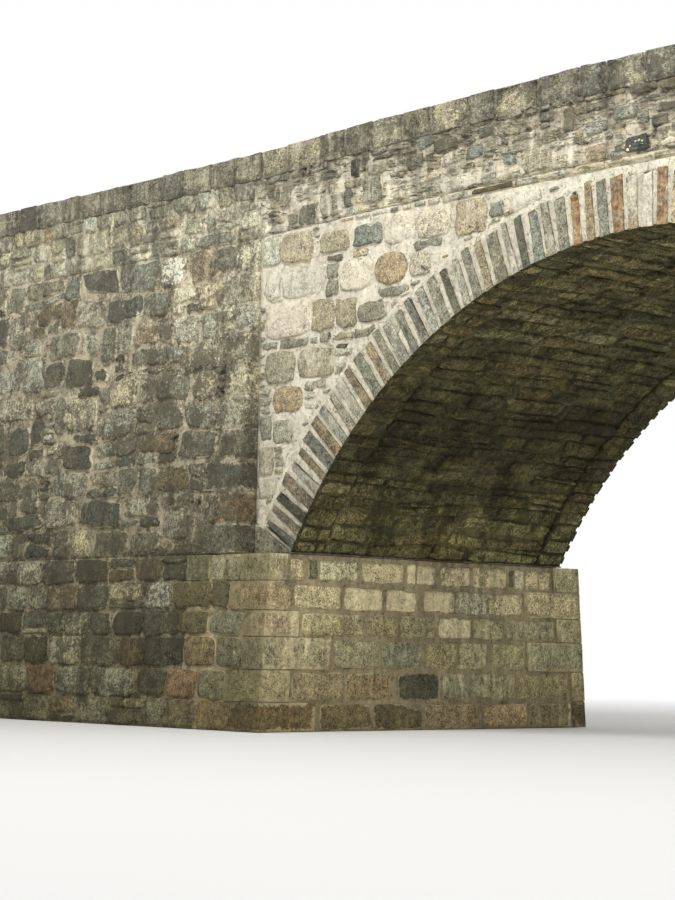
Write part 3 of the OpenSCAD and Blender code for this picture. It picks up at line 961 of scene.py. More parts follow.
MATERIALS = {
    "spandrel": masonry(
        "pale rubble and cream mortar", (0.67, 0.625, 0.49), reach=0.02, soot=0.35, contrast=1.1, lime=0.28,
        lime_strength=0.6, growth=0.06, growth_strength=0.5, growth_colour=(0.14, 0.13, 0.09), lichen=0.1,
        relief=0.08, runs=0.1, lap=0.3, low_cast=(1.45, 1.44, 1.43), high_cast=(1.6, 1.59, 1.6),
        cast_z=(2.0, 4.6)),
    "ring": masonry(
        "face ring slabs", (0.8, 0.745, 0.595), reach=-0.12, soot=0.2, contrast=1.4, lime=0.24,
        lime_colour=(0.78, 0.73, 0.59), growth=0.2, growth_colour=(0.11, 0.104, 0.078), growth_strength=0.6,
        lichen=0.05, relief=0.07, lap=0.3, film=(0.3, 0.27, 0.13), low_cast=(0.67, 0.665, 0.64),
        high_cast=(1.4, 1.39, 1.36), cast_z=(2.2, 4.4)),
    "ring_mortar": masonry(
        "face ring mortar", (0.92, 0.85, 0.67), reach=0.5, soot=0.25, lime=0.3, growth=-0.15,
        growth_strength=0.4, lichen=0.0, relief=0.07, film=(0.13, 0.118, 0.058), low_cast=(0.6, 0.59, 0.56),
        high_cast=(1.04, 1.04, 1.02), cast_z=(1.9, 2.8)),
    "springer": masonry(
        "springer stones", (0.4, 0.36, 0.26), reach=-0.4, contrast=1.3, lime=0.2, growth=0.25,
        growth_strength=0.6, relief=0.06),
    "parapet": masonry(
        "weathered parapet rubble", (0.5, 0.455, 0.335), reach=0.16, soot=0.6, contrast=1.25, layered=1.6,
        lime=0.3, lime_runs=0.6, lime_colour=(0.8, 0.74, 0.58), growth=0.34, low_growth=-0.28,
        growth_z=(5.3, 6.0), growth_runs=0.45, growth_colour=(0.15, 0.138, 0.087), growth_strength=0.7,
        relief=0.09, rims=0.1, layers=0.8, runs=0.34, low_cast=(2.05, 2.04, 2.05),
        high_cast=(1.2, 1.18, 1.17), cast_z=(5.2, 6.0)),
    "parapet_end": masonry(
        "rubble of the outer parapets", (0.4, 0.37, 0.275), reach=0.36, soot=0.5, contrast=1.2, lime=0.3,
        growth=0.26, growth_colour=(0.09, 0.088, 0.07), growth_strength=0.72, lichen=0.3, relief=0.08,
        rims=0.3, rim_colour=(0.62, 0.57, 0.43), runs=0.26, low_cast=(2.1, 2.1, 2.02),
        high_cast=(1.6, 1.58, 1.5), cast_z=(5.2, 5.9)),
    "coping": masonry(
        "coping stones", (0.29, 0.27, 0.2), reach=0.45, soot=0.6, contrast=1.4, layered=1.2, lime=0.34,
        lime_runs=0.5, lime_colour=(0.56, 0.52, 0.4), lime_strength=0.7, growth=0.3, growth_runs=0.25,
        growth_colour=(0.09, 0.085, 0.065), growth_strength=0.72, lichen=0.3, relief=0.08, runs=0.3,
        low_cast=(1.4, 1.37, 1.33), high_cast=(1.4, 1.37, 1.33)),
    "slab": masonry(
        "thin slab course", (0.62, 0.56, 0.41), reach=0.45, soot=0.4, contrast=1.2, layered=1.5, lime=0.4,
        growth=0.1, growth_colour=(0.075, 0.078, 0.04), growth_strength=0.6, relief=0.05, layers=0.6,
        low_cast=(1.4, 1.38, 1.32), high_cast=(1.4, 1.38, 1.32)),
    "wing": masonry(
        "dark wing wall rubble", (0.335, 0.302, 0.212), reach=0.48, soot=0.5, contrast=1.35, lime=0.1,
        lime_runs=0.2, lime_colour=(0.4, 0.378, 0.3), lime_strength=0.7, growth=0.3,
        growth_colour=(0.067, 0.061, 0.041), growth_strength=0.8, lichen=0.14,
        lichen_colour=(0.52, 0.5, 0.4), lichen_size=18.0, relief=0.09, rims=0.36,
        rim_colour=(0.5, 0.455, 0.335), runs=0.18, low_cast=(0.8, 0.765, 0.57), high_cast=(2.62, 2.6, 2.62)),
    "ashlar": masonry(
        "river ashlar", (0.295, 0.257, 0.183), reach=0.14, soot=0.35, contrast=1.3, lime=0.25, lime_runs=0.5,
        lime_colour=(0.8, 0.72, 0.53), lime_strength=0.65, lime_on_joints=0.2, growth=0.17, low_growth=-0.1,
        growth_z=(0.6, 1.5), growth_runs=0.6, growth_colour=(0.1, 0.09, 0.059), growth_strength=0.65,
        relief=0.06, rims=0.4, rim_colour=(0.46, 0.41, 0.28), runs=0.2, lap=0.1, low_cast=(1.06, 1.02, 0.81),
        high_cast=(1.62, 1.57, 1.3), cast_z=(0.2, 1.85)),
    # The vault is painted dark, partly for its damp stone and partly as painted shade under the arch
    "soffit": masonry(
        "damp vault rubble", (0.074, 0.07, 0.046), reach=0.16, soot=0.6, contrast=1.8, lime=0.12,
        lime_colour=(0.2, 0.19, 0.135), lime_strength=0.6, growth=0.27, growth_runs=0.4,
        growth_colour=(0.019, 0.0175, 0.008), growth_strength=0.8, lichen=0.3,
        lichen_colour=(0.18, 0.165, 0.1), relief=0.12, rims=0.1, rim_colour=(0.13, 0.125, 0.09), runs=0.4,
        layers=0.35, low_cast=(2.7, 2.63, 1.82), high_cast=(2.5, 2.48, 1.78), cast_z=(1.9, 2.9)),
    "gravel": gravel(),
}


# abutments and wing walls

# Heights of the squared courses, from the foot to the springing, then of the rubble above the ledge
LOW_LEVELS = [0.0, 0.305, 0.64, 0.98, 1.255, 1.56, SPRINGING]
HIGH_LEVELS = [SPRINGING, 2.17, 2.52, 2.85, 3.2, 3.55, 3.88, 4.23, 4.55, 4.9, WING_Z]
ALL_LEVELS = LOW_LEVELS + HIGH_LEVELS[1:]
LOW_COURSES, HIGH_COURSES, ALL_COURSES = (
    list(itertools.pairwise(levels)) for levels in (LOW_LEVELS, HIGH_LEVELS, ALL_LEVELS))

# The river face in view, course by course from the springing down: stones as (from, to, kind)
# The first and last stones of a course are its corner blocks
LEFT_RIVER = [
    [(-2.38, -2.12, "beige_grey"), (-2.1, -1.88, "beige"), (-1.85, -1.7, "grey_dark"),
     (-1.68, -1.13, "pale"), (-1.07, -0.46, "cream"), (-0.41, -0.26, "cream"), (-0.25, 0.03, "cream"),
     (0.11, 0.58, "cream"), (0.62, 1.17, "cream"), (1.19, 1.29, "blue_dark"), (1.3, 1.46, "white"),
     (1.48, 1.7, "beige"), (1.71, 1.91, "beige"), (1.94, 2.39, "beige_grey")],
    [(-2.4, -2.05, "pink"), (-2.04, -1.36, "beige"), (-1.33, -0.76, "cream"), (-0.71, -0.23, "cream"),
     (-0.15, 0.34, "cream"), (0.35, 0.87, "pale"), (0.87, 1.43, "pale"), (1.46, 2.42, "beige")],
    [(-2.43, -1.95, "pink"), (-1.92, -1.03, "beige_grey"), (-0.98, -0.53, "beige_grey"),
     (-0.5, 0.05, "beige_grey"), (0.09, 0.6, "pale"), (0.63, 1.14, "beige_grey"), (1.18, 1.98, "beige_grey"),
     (2.02, 2.45, "beige_grey")],
    [(-2.46, -1.51, "grey"), (-1.46, -0.81, "grey"), (-0.76, -0.16, "grey"), (-0.11, 0.38, "beige_grey"),
     (0.41, 0.86, "beige"), (0.9, 1.49, "beige_grey"), (1.53, 2.48, "beige_grey")],
    [(-2.49, -2.07, "beige_grey"), (-2.05, -1.31, "tan"), (-1.27, -0.55, "tan"), (-0.51, 0.13, "blue_dark"),
     (0.16, 0.57, "grey"), (0.59, 1.33, "grey"), (1.35, 2.25, "beige_grey"), (2.29, 2.51, "beige_grey")],
    [(-2.52, -1.72, "brown_dark"), (-1.66, -0.91, "brown_dark"), (-0.88, -0.13, "brown_dark"),
     (-0.1, 0.75, "tan"), (0.8, 1.53, "pink"), (1.57, 2.27, "tan"), (2.31, 2.53, "brown_dark")],
]
# For each course from the springing down: mortar left above its stones, and how wide its corner block
# is on the side wall
RIVER_BEDS = [0.05, 0.035, 0.02, 0.018, 0.018, 0.02]
NEAR_WIDTHS = [0.44, 0.62, 0.4, 0.34, 0.58, 0.42]


def four_sided(a, b, low, high):
    """Four corners, anticlockwise from the lower left."""
    return np.array([(a, low), (b, low), (b, high), (a, high)])


def random_river_courses(rng):
    """Courses for the river face that the view doesn't show."""
    joint = 0.025
    courses = []
    for low, high in LOW_COURSES[::-1]:
        reach = FACE_Y + batter_out((low + high) / 2)
        near = -reach + rng.uniform(0.28, 0.6)
        far = reach - rng.uniform(0.28, 0.6)
        stones = [(-reach, near, pick(ASHLAR_MIX, rng))]
        s = near + joint
        while s < far - 0.35:
            e = min(s + rng.uniform(0.35, 0.85), far - joint)
            e = far - joint if far - e < 0.3 else e
            stones.append((s, e, pick(ASHLAR_MIX, rng)))
            s = e + joint
        courses.append(stones + [(far, reach, pick(ASHLAR_MIX, rng))])
    return courses


def stack_corner(work, wall, corner, run, courses, stones, gap, rng, joint_rng, deepest=math.inf, soil=None,
                 radius=0.017, rough=0.01):
    """Blocks up the open end of a wall, with mortar in their level joints.

    run is the direction in which the blocks run from the corner. stones gives the width, depth and kind
    of each, and gap how far it stays clear along the wall and up. deepest is how far in the mortar
    goes at most. The widths and depths come back, from the lowest block up."""
    laid = []
    for (low, high), (width, depth, kind) in zip(courses, stones):
        block_in_wall(work, wall, (corner, corner + run * (width - gap[0])), (low + gap[1], high - gap[1]),
                      (0.0, depth), kind, rng, radius=radius, rough=rough, cell=(0.09, 0.08, 0.09),
                      soil=soil, joints=((ALONG, run), (UPWARD, 1), (UPWARD, -1), (INWARD, 1)))
        laid.append((low, high, width, depth))
    laid.sort()
    for (_, level, *under), (_, _, *over) in itertools.pairwise(laid):
        width, depth = np.minimum(under, over)
        block_in_wall(work, wall, (corner + run * 0.008, corner + run * width),
                      (level - 0.017, level + 0.017), (0.008, min(depth, deepest)), MORTAR, joint_rng,
                      radius=0.006, rough=0.005, cell=0.1, plain=True, soil=soil)
    return np.array(laid)[:, 2:].T


def in_turn(k, odd, even, rng):
    """A size that changes from course to course."""
    return (odd if k % 2 else even) * rng.uniform(0.85, 1.2)


def build_side(side, sx):
    """An abutment with its wing walls and end wall, on the left or the right."""
    rng, joint_rng = (RandomState(seed + (sx < 0)) for seed in (11, 13))
    abutment, end_wall = Masonry(), Masonry()
    wings = {face: Masonry() for face in FACES}
    river = LEFT_RIVER if side == "left" else random_river_courses(rng)

    # Mortar inside the abutment
    half = ((ABUTMENT_X - RIVER_X - 0.018) / 2, (SPRINGING - 0.002) / 2, FACE_Y + 0.2)

    def core(a, b, c):
        z = b + half[1]
        y = c / half[2] * (FACE_Y + batter_out(z) - 0.029)
        return spaced(sx * (a - RIVER_X - 0.018 - half[0]), y, z)

    rough_block(abutment, core, half, MORTAR, rng, radius=0.01, rough=0.005, cell=0.11)

    for course, bed, (low, high) in zip(river, RIVER_BEDS, LOW_COURSES[::-1]):
        for a, b, kind in course[1:-1]:
            corners = four_sided(a, b, low + 0.014, high - bed) + rng.uniform(-0.008, 0.008, (4, 2))
            outline = stone_outline(corners, rng, 0.95, corner=0.06, wobble=0.005, per_side=5)
            outline[:, 1] = np.maximum(outline[:, 1], 0.004)
            lay_stone(abutment, river_wall(sx), outline, kind, rng, rough=0.011, dome=0.003)

    end_depths = {}
    for face, sy in FACES.items():
        wing, wall = wings[face], battered_wall(sx, sy)
        # The courses of the river face start at negative Y, which is the front
        corner_blocks = [course[0 if sy > 0 else -1] for course in river]
        stones = ((width * rng.uniform(0.9, 1.1), abs(b - a), kind)
                  for width, (a, b, kind) in zip(NEAR_WIDTHS, corner_blocks))
        widths, _ = stack_corner(abutment, wall, -RIVER_X, -1, LOW_COURSES[::-1], stones, (0.004, 0.001),
                                 rng, joint_rng, soil=soiled_face(0.55), radius=0.009, rough=0.006)
        near_ends = -RIVER_X - widths
        # The top course carries the ledge, so its blocks run back under the spandrel
        low, high = LOW_COURSES[-1]
        for width, kind in ((0.5, "granite" if face == "front" else "grey"), (0.42, "grey_dark")):
            block_in_wall(abutment, wall, (near_ends[-1] - width + 0.006, near_ends[-1] - 0.006),
                          (low + 0.005, high - 0.002), (0.0, 0.36), kind, rng, radius=0.022, rough=0.012,
                          cell=0.09, joints=((ALONG, 1), (ALONG, -1), (UPWARD, -1)), soil=soiled_face(0.44))
            near_ends[-1] -= width

        # Corner blocks at the straight joint with the spandrel, then at the far end
        stones = ((in_turn(k, 0.34, 0.56, rng), 0.4, pick(WING_MIX if k < 4 else WING_TOP_MIX, rng))
                  for k in range(len(HIGH_COURSES)))
        widths, _ = stack_corner(wing, wall, -JOINT_X, -1, HIGH_COURSES, stones, (0.005, 0.004), rng,
                                 joint_rng, deepest=0.3)
        joint_ends = -JOINT_X - widths
        stones = ((in_turn(k, 0.36, 0.58, rng), in_turn(k, 0.56, 0.36, rng), pick(WING_MIX, rng))
                  for k in range(len(ALL_COURSES)))
        widths, end_depths[face] = stack_corner(wing, wall, -END_X, 1, ALL_COURSES, stones, (0.012, 0.01),
                                                rng, joint_rng)
        far_ends = -END_X + widths

        # Squared and rough courses below the ledge, then rubble above it
        cells = course_cells(LOW_LEVELS, far_ends[:6], near_ends, (0.34, 0.72), rng, WING_LOW_MIX,
                             split=0.12)
        for cell in cells:
            if sum(cell["s"]) / 2 > -ABUTMENT_X:
                cell["kind"] = pick(ABUTMENT_SIDE_MIX, rng)
        lay_cells(cells, lambda s, t: abutment if s > -ABUTMENT_X else wing, wall, rng,
                  (-END_X + 0.3, -RIVER_X - 0.3, 0.0, SPRINGING), warp=0.018, seed=21, joint=0.008,
                  skew=0.04, broken=0.1, squareness=0.98, wobble=0.009, rough=0.02, dome=0.008, proud=0.008,
                  hem=0.5, back=0.004)
        cells = course_cells(HIGH_LEVELS, far_ends[6:], joint_ends, (0.24, 0.72), rng, WING_MIX, split=0.22,
                             slope=0.08)
        cells = break_courses(cells, rng, WING_MIX, (-END_X + 0.7, -JOINT_X - 1.2),
                              (SPRINGING + 0.1, WING_Z - 0.6), 9)
        for cell in cells:
            # The stones are paler high up beside the straight joint
            if cell["s"][0] > -JOINT_X - 2.1 and cell["t"][0] > 3.1 and rng.random() < 0.8:
                cell["kind"] = pick(WING_TOP_MIX, rng)
        lay_cells(cells, wing, wall, rng, (-END_X + 0.35, -JOINT_X - 0.35, SPRINGING, WING_Z), warp=0.055,
                  seed=33, joint=0.012, skew=0.05, squareness=0.92, wobble=0.013, rough=0.024, dome=0.011,
                  proud=0.012)

        def deep(s, t, d, wall=wall):
            # The back of the bed is plumb at the inner face of the wall
            return wall(s, t, d + np.where(d > 0.3, batter_out(t), 0.0))

        mortar_bed(wing, deep, (-END_X + 0.02, -ABUTMENT_X), 0.0, SPRINGING, WALL_T, cell=0.13)
        mortar_bed(wing, deep, (-END_X + 0.02, -JOINT_X - 0.022), SPRINGING, WING_Z, WALL_T, cell=0.13)

    reach = FACE_Y + batter_out(np.mean(ALL_COURSES, 1))
    cells = course_cells(ALL_LEVELS, end_depths["front"] + 0.01 - reach, reach - end_depths["back"] - 0.01,
                         (0.34, 0.7), rng, WING_MIX, split=0.16, slope=0.05)
    lay_cells(cells, lambda s, t: end_wall if abs(s) < INNER_Y else wings["front" if s < 0 else "back"],
              end_face(sx), rng, (-1.7, 1.7, 0.0, WING_Z), warp=0.02, seed=57, joint=0.024, skew=0.12,
              squareness=0.88, wobble=0.01, rough=0.017, dome=0.01, bed=0.04, proud=0.01)
    mortar_bed(end_wall, end_face(sx), (-INNER_Y, INNER_Y), 0.0, WING_Z + ROAD_LIFT - ROAD_T, END_WALL)

    abutment.build(f"abutment_{side}", "masonry", "ashlar", "ashlar")
    for face in FACES:
        wings[face].build(f"wing_wall_{face}_{side}", "masonry", "wing", "wing_rubble")
    end_wall.build(f"end_wall_{side}", "masonry", "wing", "wing_rubble")


def build_springer(side, sx):
    """The wedge course under the first ring stones."""
    rng = RandomState(71 + (sx < 0))
    work = Masonry()
    rise, length = SKEW_Z - SPRINGING, JOINT_X - RIVER_X
    for y0, y1 in itertools.pairwise((-FACE_Y, -1.35, -0.45, 0.45, 1.35, FACE_Y)):
        def place(a, b, c, y=(y0 + y1) / 2):
            share = np.clip(a / length + 0.5, 0, 1)
            height = np.maximum(rise * (1 - share), 0.006) * (b / rise + 0.5)
            return spaced(sx * (share * length - JOINT_X), y + c, SPRINGING + height)

        rough_block(work, place, (length / 2, rise / 2, (y1 - y0) / 2), pick(RING_MIX, rng), rng,
                    radius=0.015, rough=0.004, cell=0.08, joints=((INWARD, 1), (INWARD, -1)))
    work.build(f"springer_{side}", "stones", "springer", "ashlar")


# vault

# Damp runs on the part of the vault in view: from and to, each a place across the bridge and
# one along the curve, and half the width
VAULT_RUNS = [
    ((-0.64, -4.04), (-0.5, -4.42), 0.13), ((-0.5, -4.42), (-0.72, -4.74), 0.08),
    ((-1.28, -4.14), (-1.15, -4.46), 0.09), ((-1.58, -4.14), (-1.5, -4.76), 0.1),
]


def damp_on_vault(points):
    """How damp each point of the vault is."""
    along_curve = np.arctan2(points[:, 0], points[:, 2] - ARCH_Z) * ARCH_R
    here = np.stack([points[:, 1], along_curve], 1)
    damp = 0.5 * np.clip(1.3 - np.abs(np.abs(along_curve) - 4.0), 0, 1)
    for start, end, width in VAULT_RUNS:
        run = np.subtract(end, start)
        share = np.clip((here - start) @ run / (run @ run), 0, 1)
        away = np.linalg.norm(here - start - share[:, None] * run, axis=1)
        damp = np.maximum(damp, np.clip(1.6 - away / width, 0, 1))
    return damp


def build_vault():
    """Rubble courses of the underside, long stones laid across the bridge."""
    third = VAULT_REACH / 3
    for k, part in enumerate(("left", "crown", "right")):
        rng = RandomState(81 + k)
        work = Masonry()
        t0, t1 = (2 * k - 3) * third, (2 * k - 1) * third
        n = int(round((t1 - t0) / 0.165))
        levels = np.linspace(t0, t1, n + 1)
        levels[1:-1] += rng.uniform(-0.042, 0.042, n - 1)

        def lay(rng, ends, lengths, slope, **stone):
            cells = course_cells(levels, *ends, lengths, rng, SOFFIT_MIX, split=0.14, slope=slope)
            for cell in cells:
                # Paler stones come in towards the springings
                away = VAULT_REACH - abs(sum(cell["t"]) / 2)
                if rng.random() < 0.95 - 0.65 * away:
                    cell["kind"] = pick(SPRINGING_MIX, rng)
            lay_cells(cells, work, vault, rng, (*ends, t0, t1), **stone)

        lay(rng, (-INNER_Y, INNER_Y), (0.55, 1.7), 0.05, warp=0.042, seed=91 + k, joint=0.008, skew=0.08,
            broken=0.25, squareness=0.99, wobble=0.009, rough=0.026, dome=0.003, back=0.014, proud=0.012)
        mortar_bed(work, vault, (-INNER_Y, INNER_Y), t0, t1, 0.14, cell=0.11, face=0.043, far_face=0.002)
        # Strips of thin stones over the lower ends of the ring slabs
        for j, ends in enumerate([(-FACE_Y + 0.035, -INNER_Y), (INNER_Y, FACE_Y - 0.035)]):
            lay(RandomState(181 + 2 * k + j), ends, (0.17, 0.42), 0.03, warp=0.02, seed=191 + k, joint=0.012,
                skew=0.06, broken=0.15, squareness=0.98, wobble=0.006, per_side=3, rough=0.014, dome=0.002,
                back=0.003, proud=0.004, bed=0.028)
        work.soils = [damp_on_vault(points) for points in work.points]
        work.build(f"arch_barrel_{part}", "rubble", "soffit", "soffit_rubble")


# face rings

# Kinds of the ring stones from the left springing to a little past the crown
RING_LEFT = """
    grey beige_grey grey_dark rust white brown blue_grey rust granite granite
    pale brown blue_grey rust beige_grey granite grey blue_grey granite grey
    grey_dark granite grey brown grey granite grey_dark blue_grey grey grey
    rust brown blue_grey rust rust white rust beige granite brown grey""".split()


def loose_parts(node):
    """The separate solids of a CAD node, each as its corner points."""
    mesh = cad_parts[node].data
    corners = np.round([v.co[:] for v in mesh.vertices], 5)
    keys, where = np.unique(corners, axis=0, return_inverse=True)
    ends = where.ravel()[[e.vertices[:] for e in mesh.edges]].T
    part, before = np.arange(len(keys)), None
    while before is None or (part != before).any():
        # Every point takes the lowest number among its neighbours
        before = part.copy()
        np.minimum.at(part, ends[0], before[ends[1]])
        np.minimum.at(part, ends[1], before[ends[0]])
    return [keys[part == k] for k in np.unique(part)]


def four_corners(points, arched=False):
    """Low left, low right, high right and high left of a part in (x, z).

    In an arch, low is towards its centre."""
    flat = np.unique(np.round(points[:, [0, 2]], 4), axis=0)
    x, z = flat.T
    along, high = (np.arctan2(x, z - ARCH_Z), np.hypot(x, z - ARCH_Z)) if arched else (x, z)
    first = along < along.mean()
    left, right = (flat[part][np.argsort(high[part])] for part in (first, ~first))
    return np.array([left[0], right[0], right[-1], left[-1]])


def angle_of(points):
    """How far round the arch a part stands."""
    return math.atan2(points[:, 0].mean(), points[:, 2].mean() - ARCH_Z)


def extent(points, axis):
    return points[:, axis].min(), points[:, axis].max()


def distance(a, b):
    return np.linalg.norm(b - a)


def towards(a, b):
    """The direction from one point to another."""
    return (b - a) / distance(a, b)


def rough_prism(work, corners, y, half, kind, rng, **settings):
    """A block with four corners in (x, z), between two places across the bridge."""
    def place(a, b, c):
        u, v = (np.clip((q / h + 1) / 2, 0, 1)[:, None] for q, h in zip((a, b), half))
        x, z = between(corners, u, v).T
        return spaced(x, sum(y) / 2 + c, z)

    rough_block(work, place, (*half, (y[1] - y[0]) / 2), kind, rng, **settings)


def build_rings():
    """Rough slabs on edge in the places of the ring stones, with the mortar between them."""
    for face, sy in FACES.items():
        rng = RandomState(101 + (sy < 0))
        # Painted shade, with damp dirt, darkens the undersides and backs of the slabs and their mortar
        soil = soiled_under(-sy)
        stones, mortar = Masonry(), Masonry()
        parts = sorted(loose_parts(f"ring_stones_{face}"), key=angle_of)
        # Each joint stands a little off its place, at the inner and the outer end
        count = len(parts) + 1
        off = rng.uniform(-0.017, 0.017, (count, 1)) + rng.uniform(-0.008, 0.008, (count, 2))
        off[0] = off[-1] = 0
        for k, points in enumerate(parts):
            corners = four_corners(points, arched=True)
            kind = RING_LEFT[k] if face == "front" and k < len(RING_LEFT) else pick(RING_MIX, rng)
            # Some slabs narrow to a point at the outer end
            cut_in = rng.uniform(-0.012, 0.002, 4)
            if rng.random() < 0.45:
                cut_in[2 + rng.randint(2)] += rng.uniform(0.015, 0.05)
            aside = off[[k, k + 1, k + 1, k], [0, 0, 1, 1]] + cut_in * (1, -1, -1, 1)
            along = rng.uniform((0.005, 0.005, 0, 0), (0.015, 0.015, 0.03, 0.03)) * (1, 1, -1, -1)
            shape = (corners + np.outer(aside, towards(corners[0], corners[1]))
                     + np.outer(along, towards(corners[0], corners[3])))
            half = (distance(corners[0], corners[1]) / 2, distance(corners[0], corners[3]) / 2)
            rough_prism(stones, shape, extent(points, 1), half, kind, rng, radius=0.013, rough=0.009,
                        cell=(0.045, 0.065, 0.3), lump=0.09, soil=soil,
                        joints=((ALONG, 1), (ALONG, -1), (UPWARD, 1)))
        for k, points in enumerate(sorted(loose_parts(f"ring_mortar_{face}"), key=angle_of)):
            corners = four_corners(points, arched=True)
            # Mortar runs in behind the rounded edges and cut ends of the slabs
            spread = np.array([-0.01, 0.01, 0.026, -0.026]) * (0 < k < len(parts))
            shape = corners + np.outer(off[k, [0, 0, 1, 1]] + spread, towards(corners[3], corners[2]))
            shape[:2] += towards(corners[0], corners[3]) * 0.01
            y0, y1 = extent(points, 1)
            y = (y0 + 0.003, y1) if sy > 0 else (y0, y1 - 0.003)
            half = (distance(shape[3], shape[2]) / 2, distance(corners[0], corners[3]) / 2)
            rough_prism(mortar, shape, y, half, MORTAR, rng, radius=0.01, rough=0.006,
                        cell=(0.05, 0.07, 0.3), lump=0.07, soil=soil, plain=True)
        stones.build(f"ring_stones_{face}", "slabs", "ring", "ring_stone")
        mortar.build(f"ring_mortar_{face}", "joints", "ring_mortar", "lime_mortar")


# spandrels

# Stones of the front left spandrel in view: from, to, bottom, top, kind, squareness
LEFT_SPANDREL = [
    (-5.3, -5.03, 4.93, 5.25, "pale", 0.95), (-4.99, -4.52, 4.91, 5.23, "beige", 0.85),
    (-4.38, -3.96, 4.91, 5.17, "beige_grey", 0.82), (-3.87, -3.46, 4.92, 5.18, "blue_grey", 0.92),
    (-3.42, -2.96, 4.92, 5.25, "white", 0.8), (-2.94, -2.48, 4.93, 5.2, "pale", 0.8),
    (-2.42, -1.99, 4.88, 5.24, "beige", 0.7), (-1.94, -1.78, 5.02, 5.15, "blue_grey", 0.95),
    (-5.26, -4.99, 4.57, 4.88, "white", 0.8), (-4.99, -4.31, 4.52, 4.87, "white", 0.88),
    (-4.28, -4.1, 4.68, 4.85, "grey", 0.8), (-4.28, -4.09, 4.49, 4.65, "grey", 0.8),
    (-4.07, -3.58, 4.52, 4.86, "white", 0.65), (-3.55, -3.08, 4.52, 4.85, "brown", 0.25),
    (-3.06, -2.76, 4.57, 4.79, "pale", 0.55), (-5.23, -4.53, 4.14, 4.51, "white", 0.93),
    (-4.5, -4.14, 4.12, 4.46, "beige_grey", 0.95), (-4.13, -3.83, 4.16, 4.44, "beige_grey", 0.9),
    (-3.79, -3.42, 4.17, 4.43, "grey", 0.55), (-5.01, -4.56, 4.01, 4.1, "grey", 0.8),
    (-4.37, -4.21, 4.02, 4.12, "grey", 0.7), (-4.19, -3.87, 4.02, 4.09, "beige_grey", 0.8),
    (-4.14, -3.97, 3.91, 3.97, "grey_dark", 0.9), (-4.13, -3.9, 3.86, 3.91, "pale", 0.9),
    (-4.13, -3.97, 3.74, 3.84, "pale", 0.9), (-5.22, -4.77, 3.65, 3.99, "beige_grey", 0.5),
    (-4.7, -4.15, 3.65, 3.99, "beige_grey", 0.5), (-5.1, -4.62, 3.34, 3.6, "brown", 0.7),
    (-4.6, -4.3, 3.55, 3.63, "grey", 0.8), (-3.5, -3.07, 4.41, 4.48, "grey", 0.8),
    (-2.98, -2.6, 4.83, 4.9, "grey", 0.8), (-4.26, -4.06, 4.87, 4.91, "grey_dark", 0.9),
    (-3.88, -3.68, 4.86, 4.93, "beige", 0.8), (-5.3, -5.12, 3.05, 3.3, "grey", 0.8),
    (-5.09, -4.8, 3.0, 3.26, "beige_grey", 0.75), (-5.3, -5.1, 2.7, 2.98, "beige_grey", 0.8),
]
SPANDREL_LEVELS = [2.15, 2.42, 2.68, 3.0, 3.32, 3.63, 4.0, 4.12, 4.5, 4.88, WING_Z]


def spandrel_top(x):
    """Height of the top of a spandrel, under the thin slabs or at the road line."""
    return road_z(x) - np.where(np.abs(x) < SLAB_REACH, SLAB_T, 0.0)


def clip_to_spandrel(outline, back_of_ring):
    """The part of a stone between the ring, the top and the straight joint, if enough of it is left."""
    x, z = outline.T
    push = np.maximum(back_of_ring / np.maximum(np.hypot(x, z - ARCH_Z), 0.1), 1.0)
    moved = np.stack([np.clip(x * push, -JOINT_X + 0.01, 0.0),
                      np.minimum(ARCH_Z + (z - ARCH_Z) * push, spandrel_top(x) - 0.008)], 1)
    area, size = outline_area(moved), np.ptp(moved, 0)
    if area < max(0.4 * outline_area(outline), 0.0022, 0.45 * size[0] * size[1]) or size.min() < 0.03:
        return None
    return moved


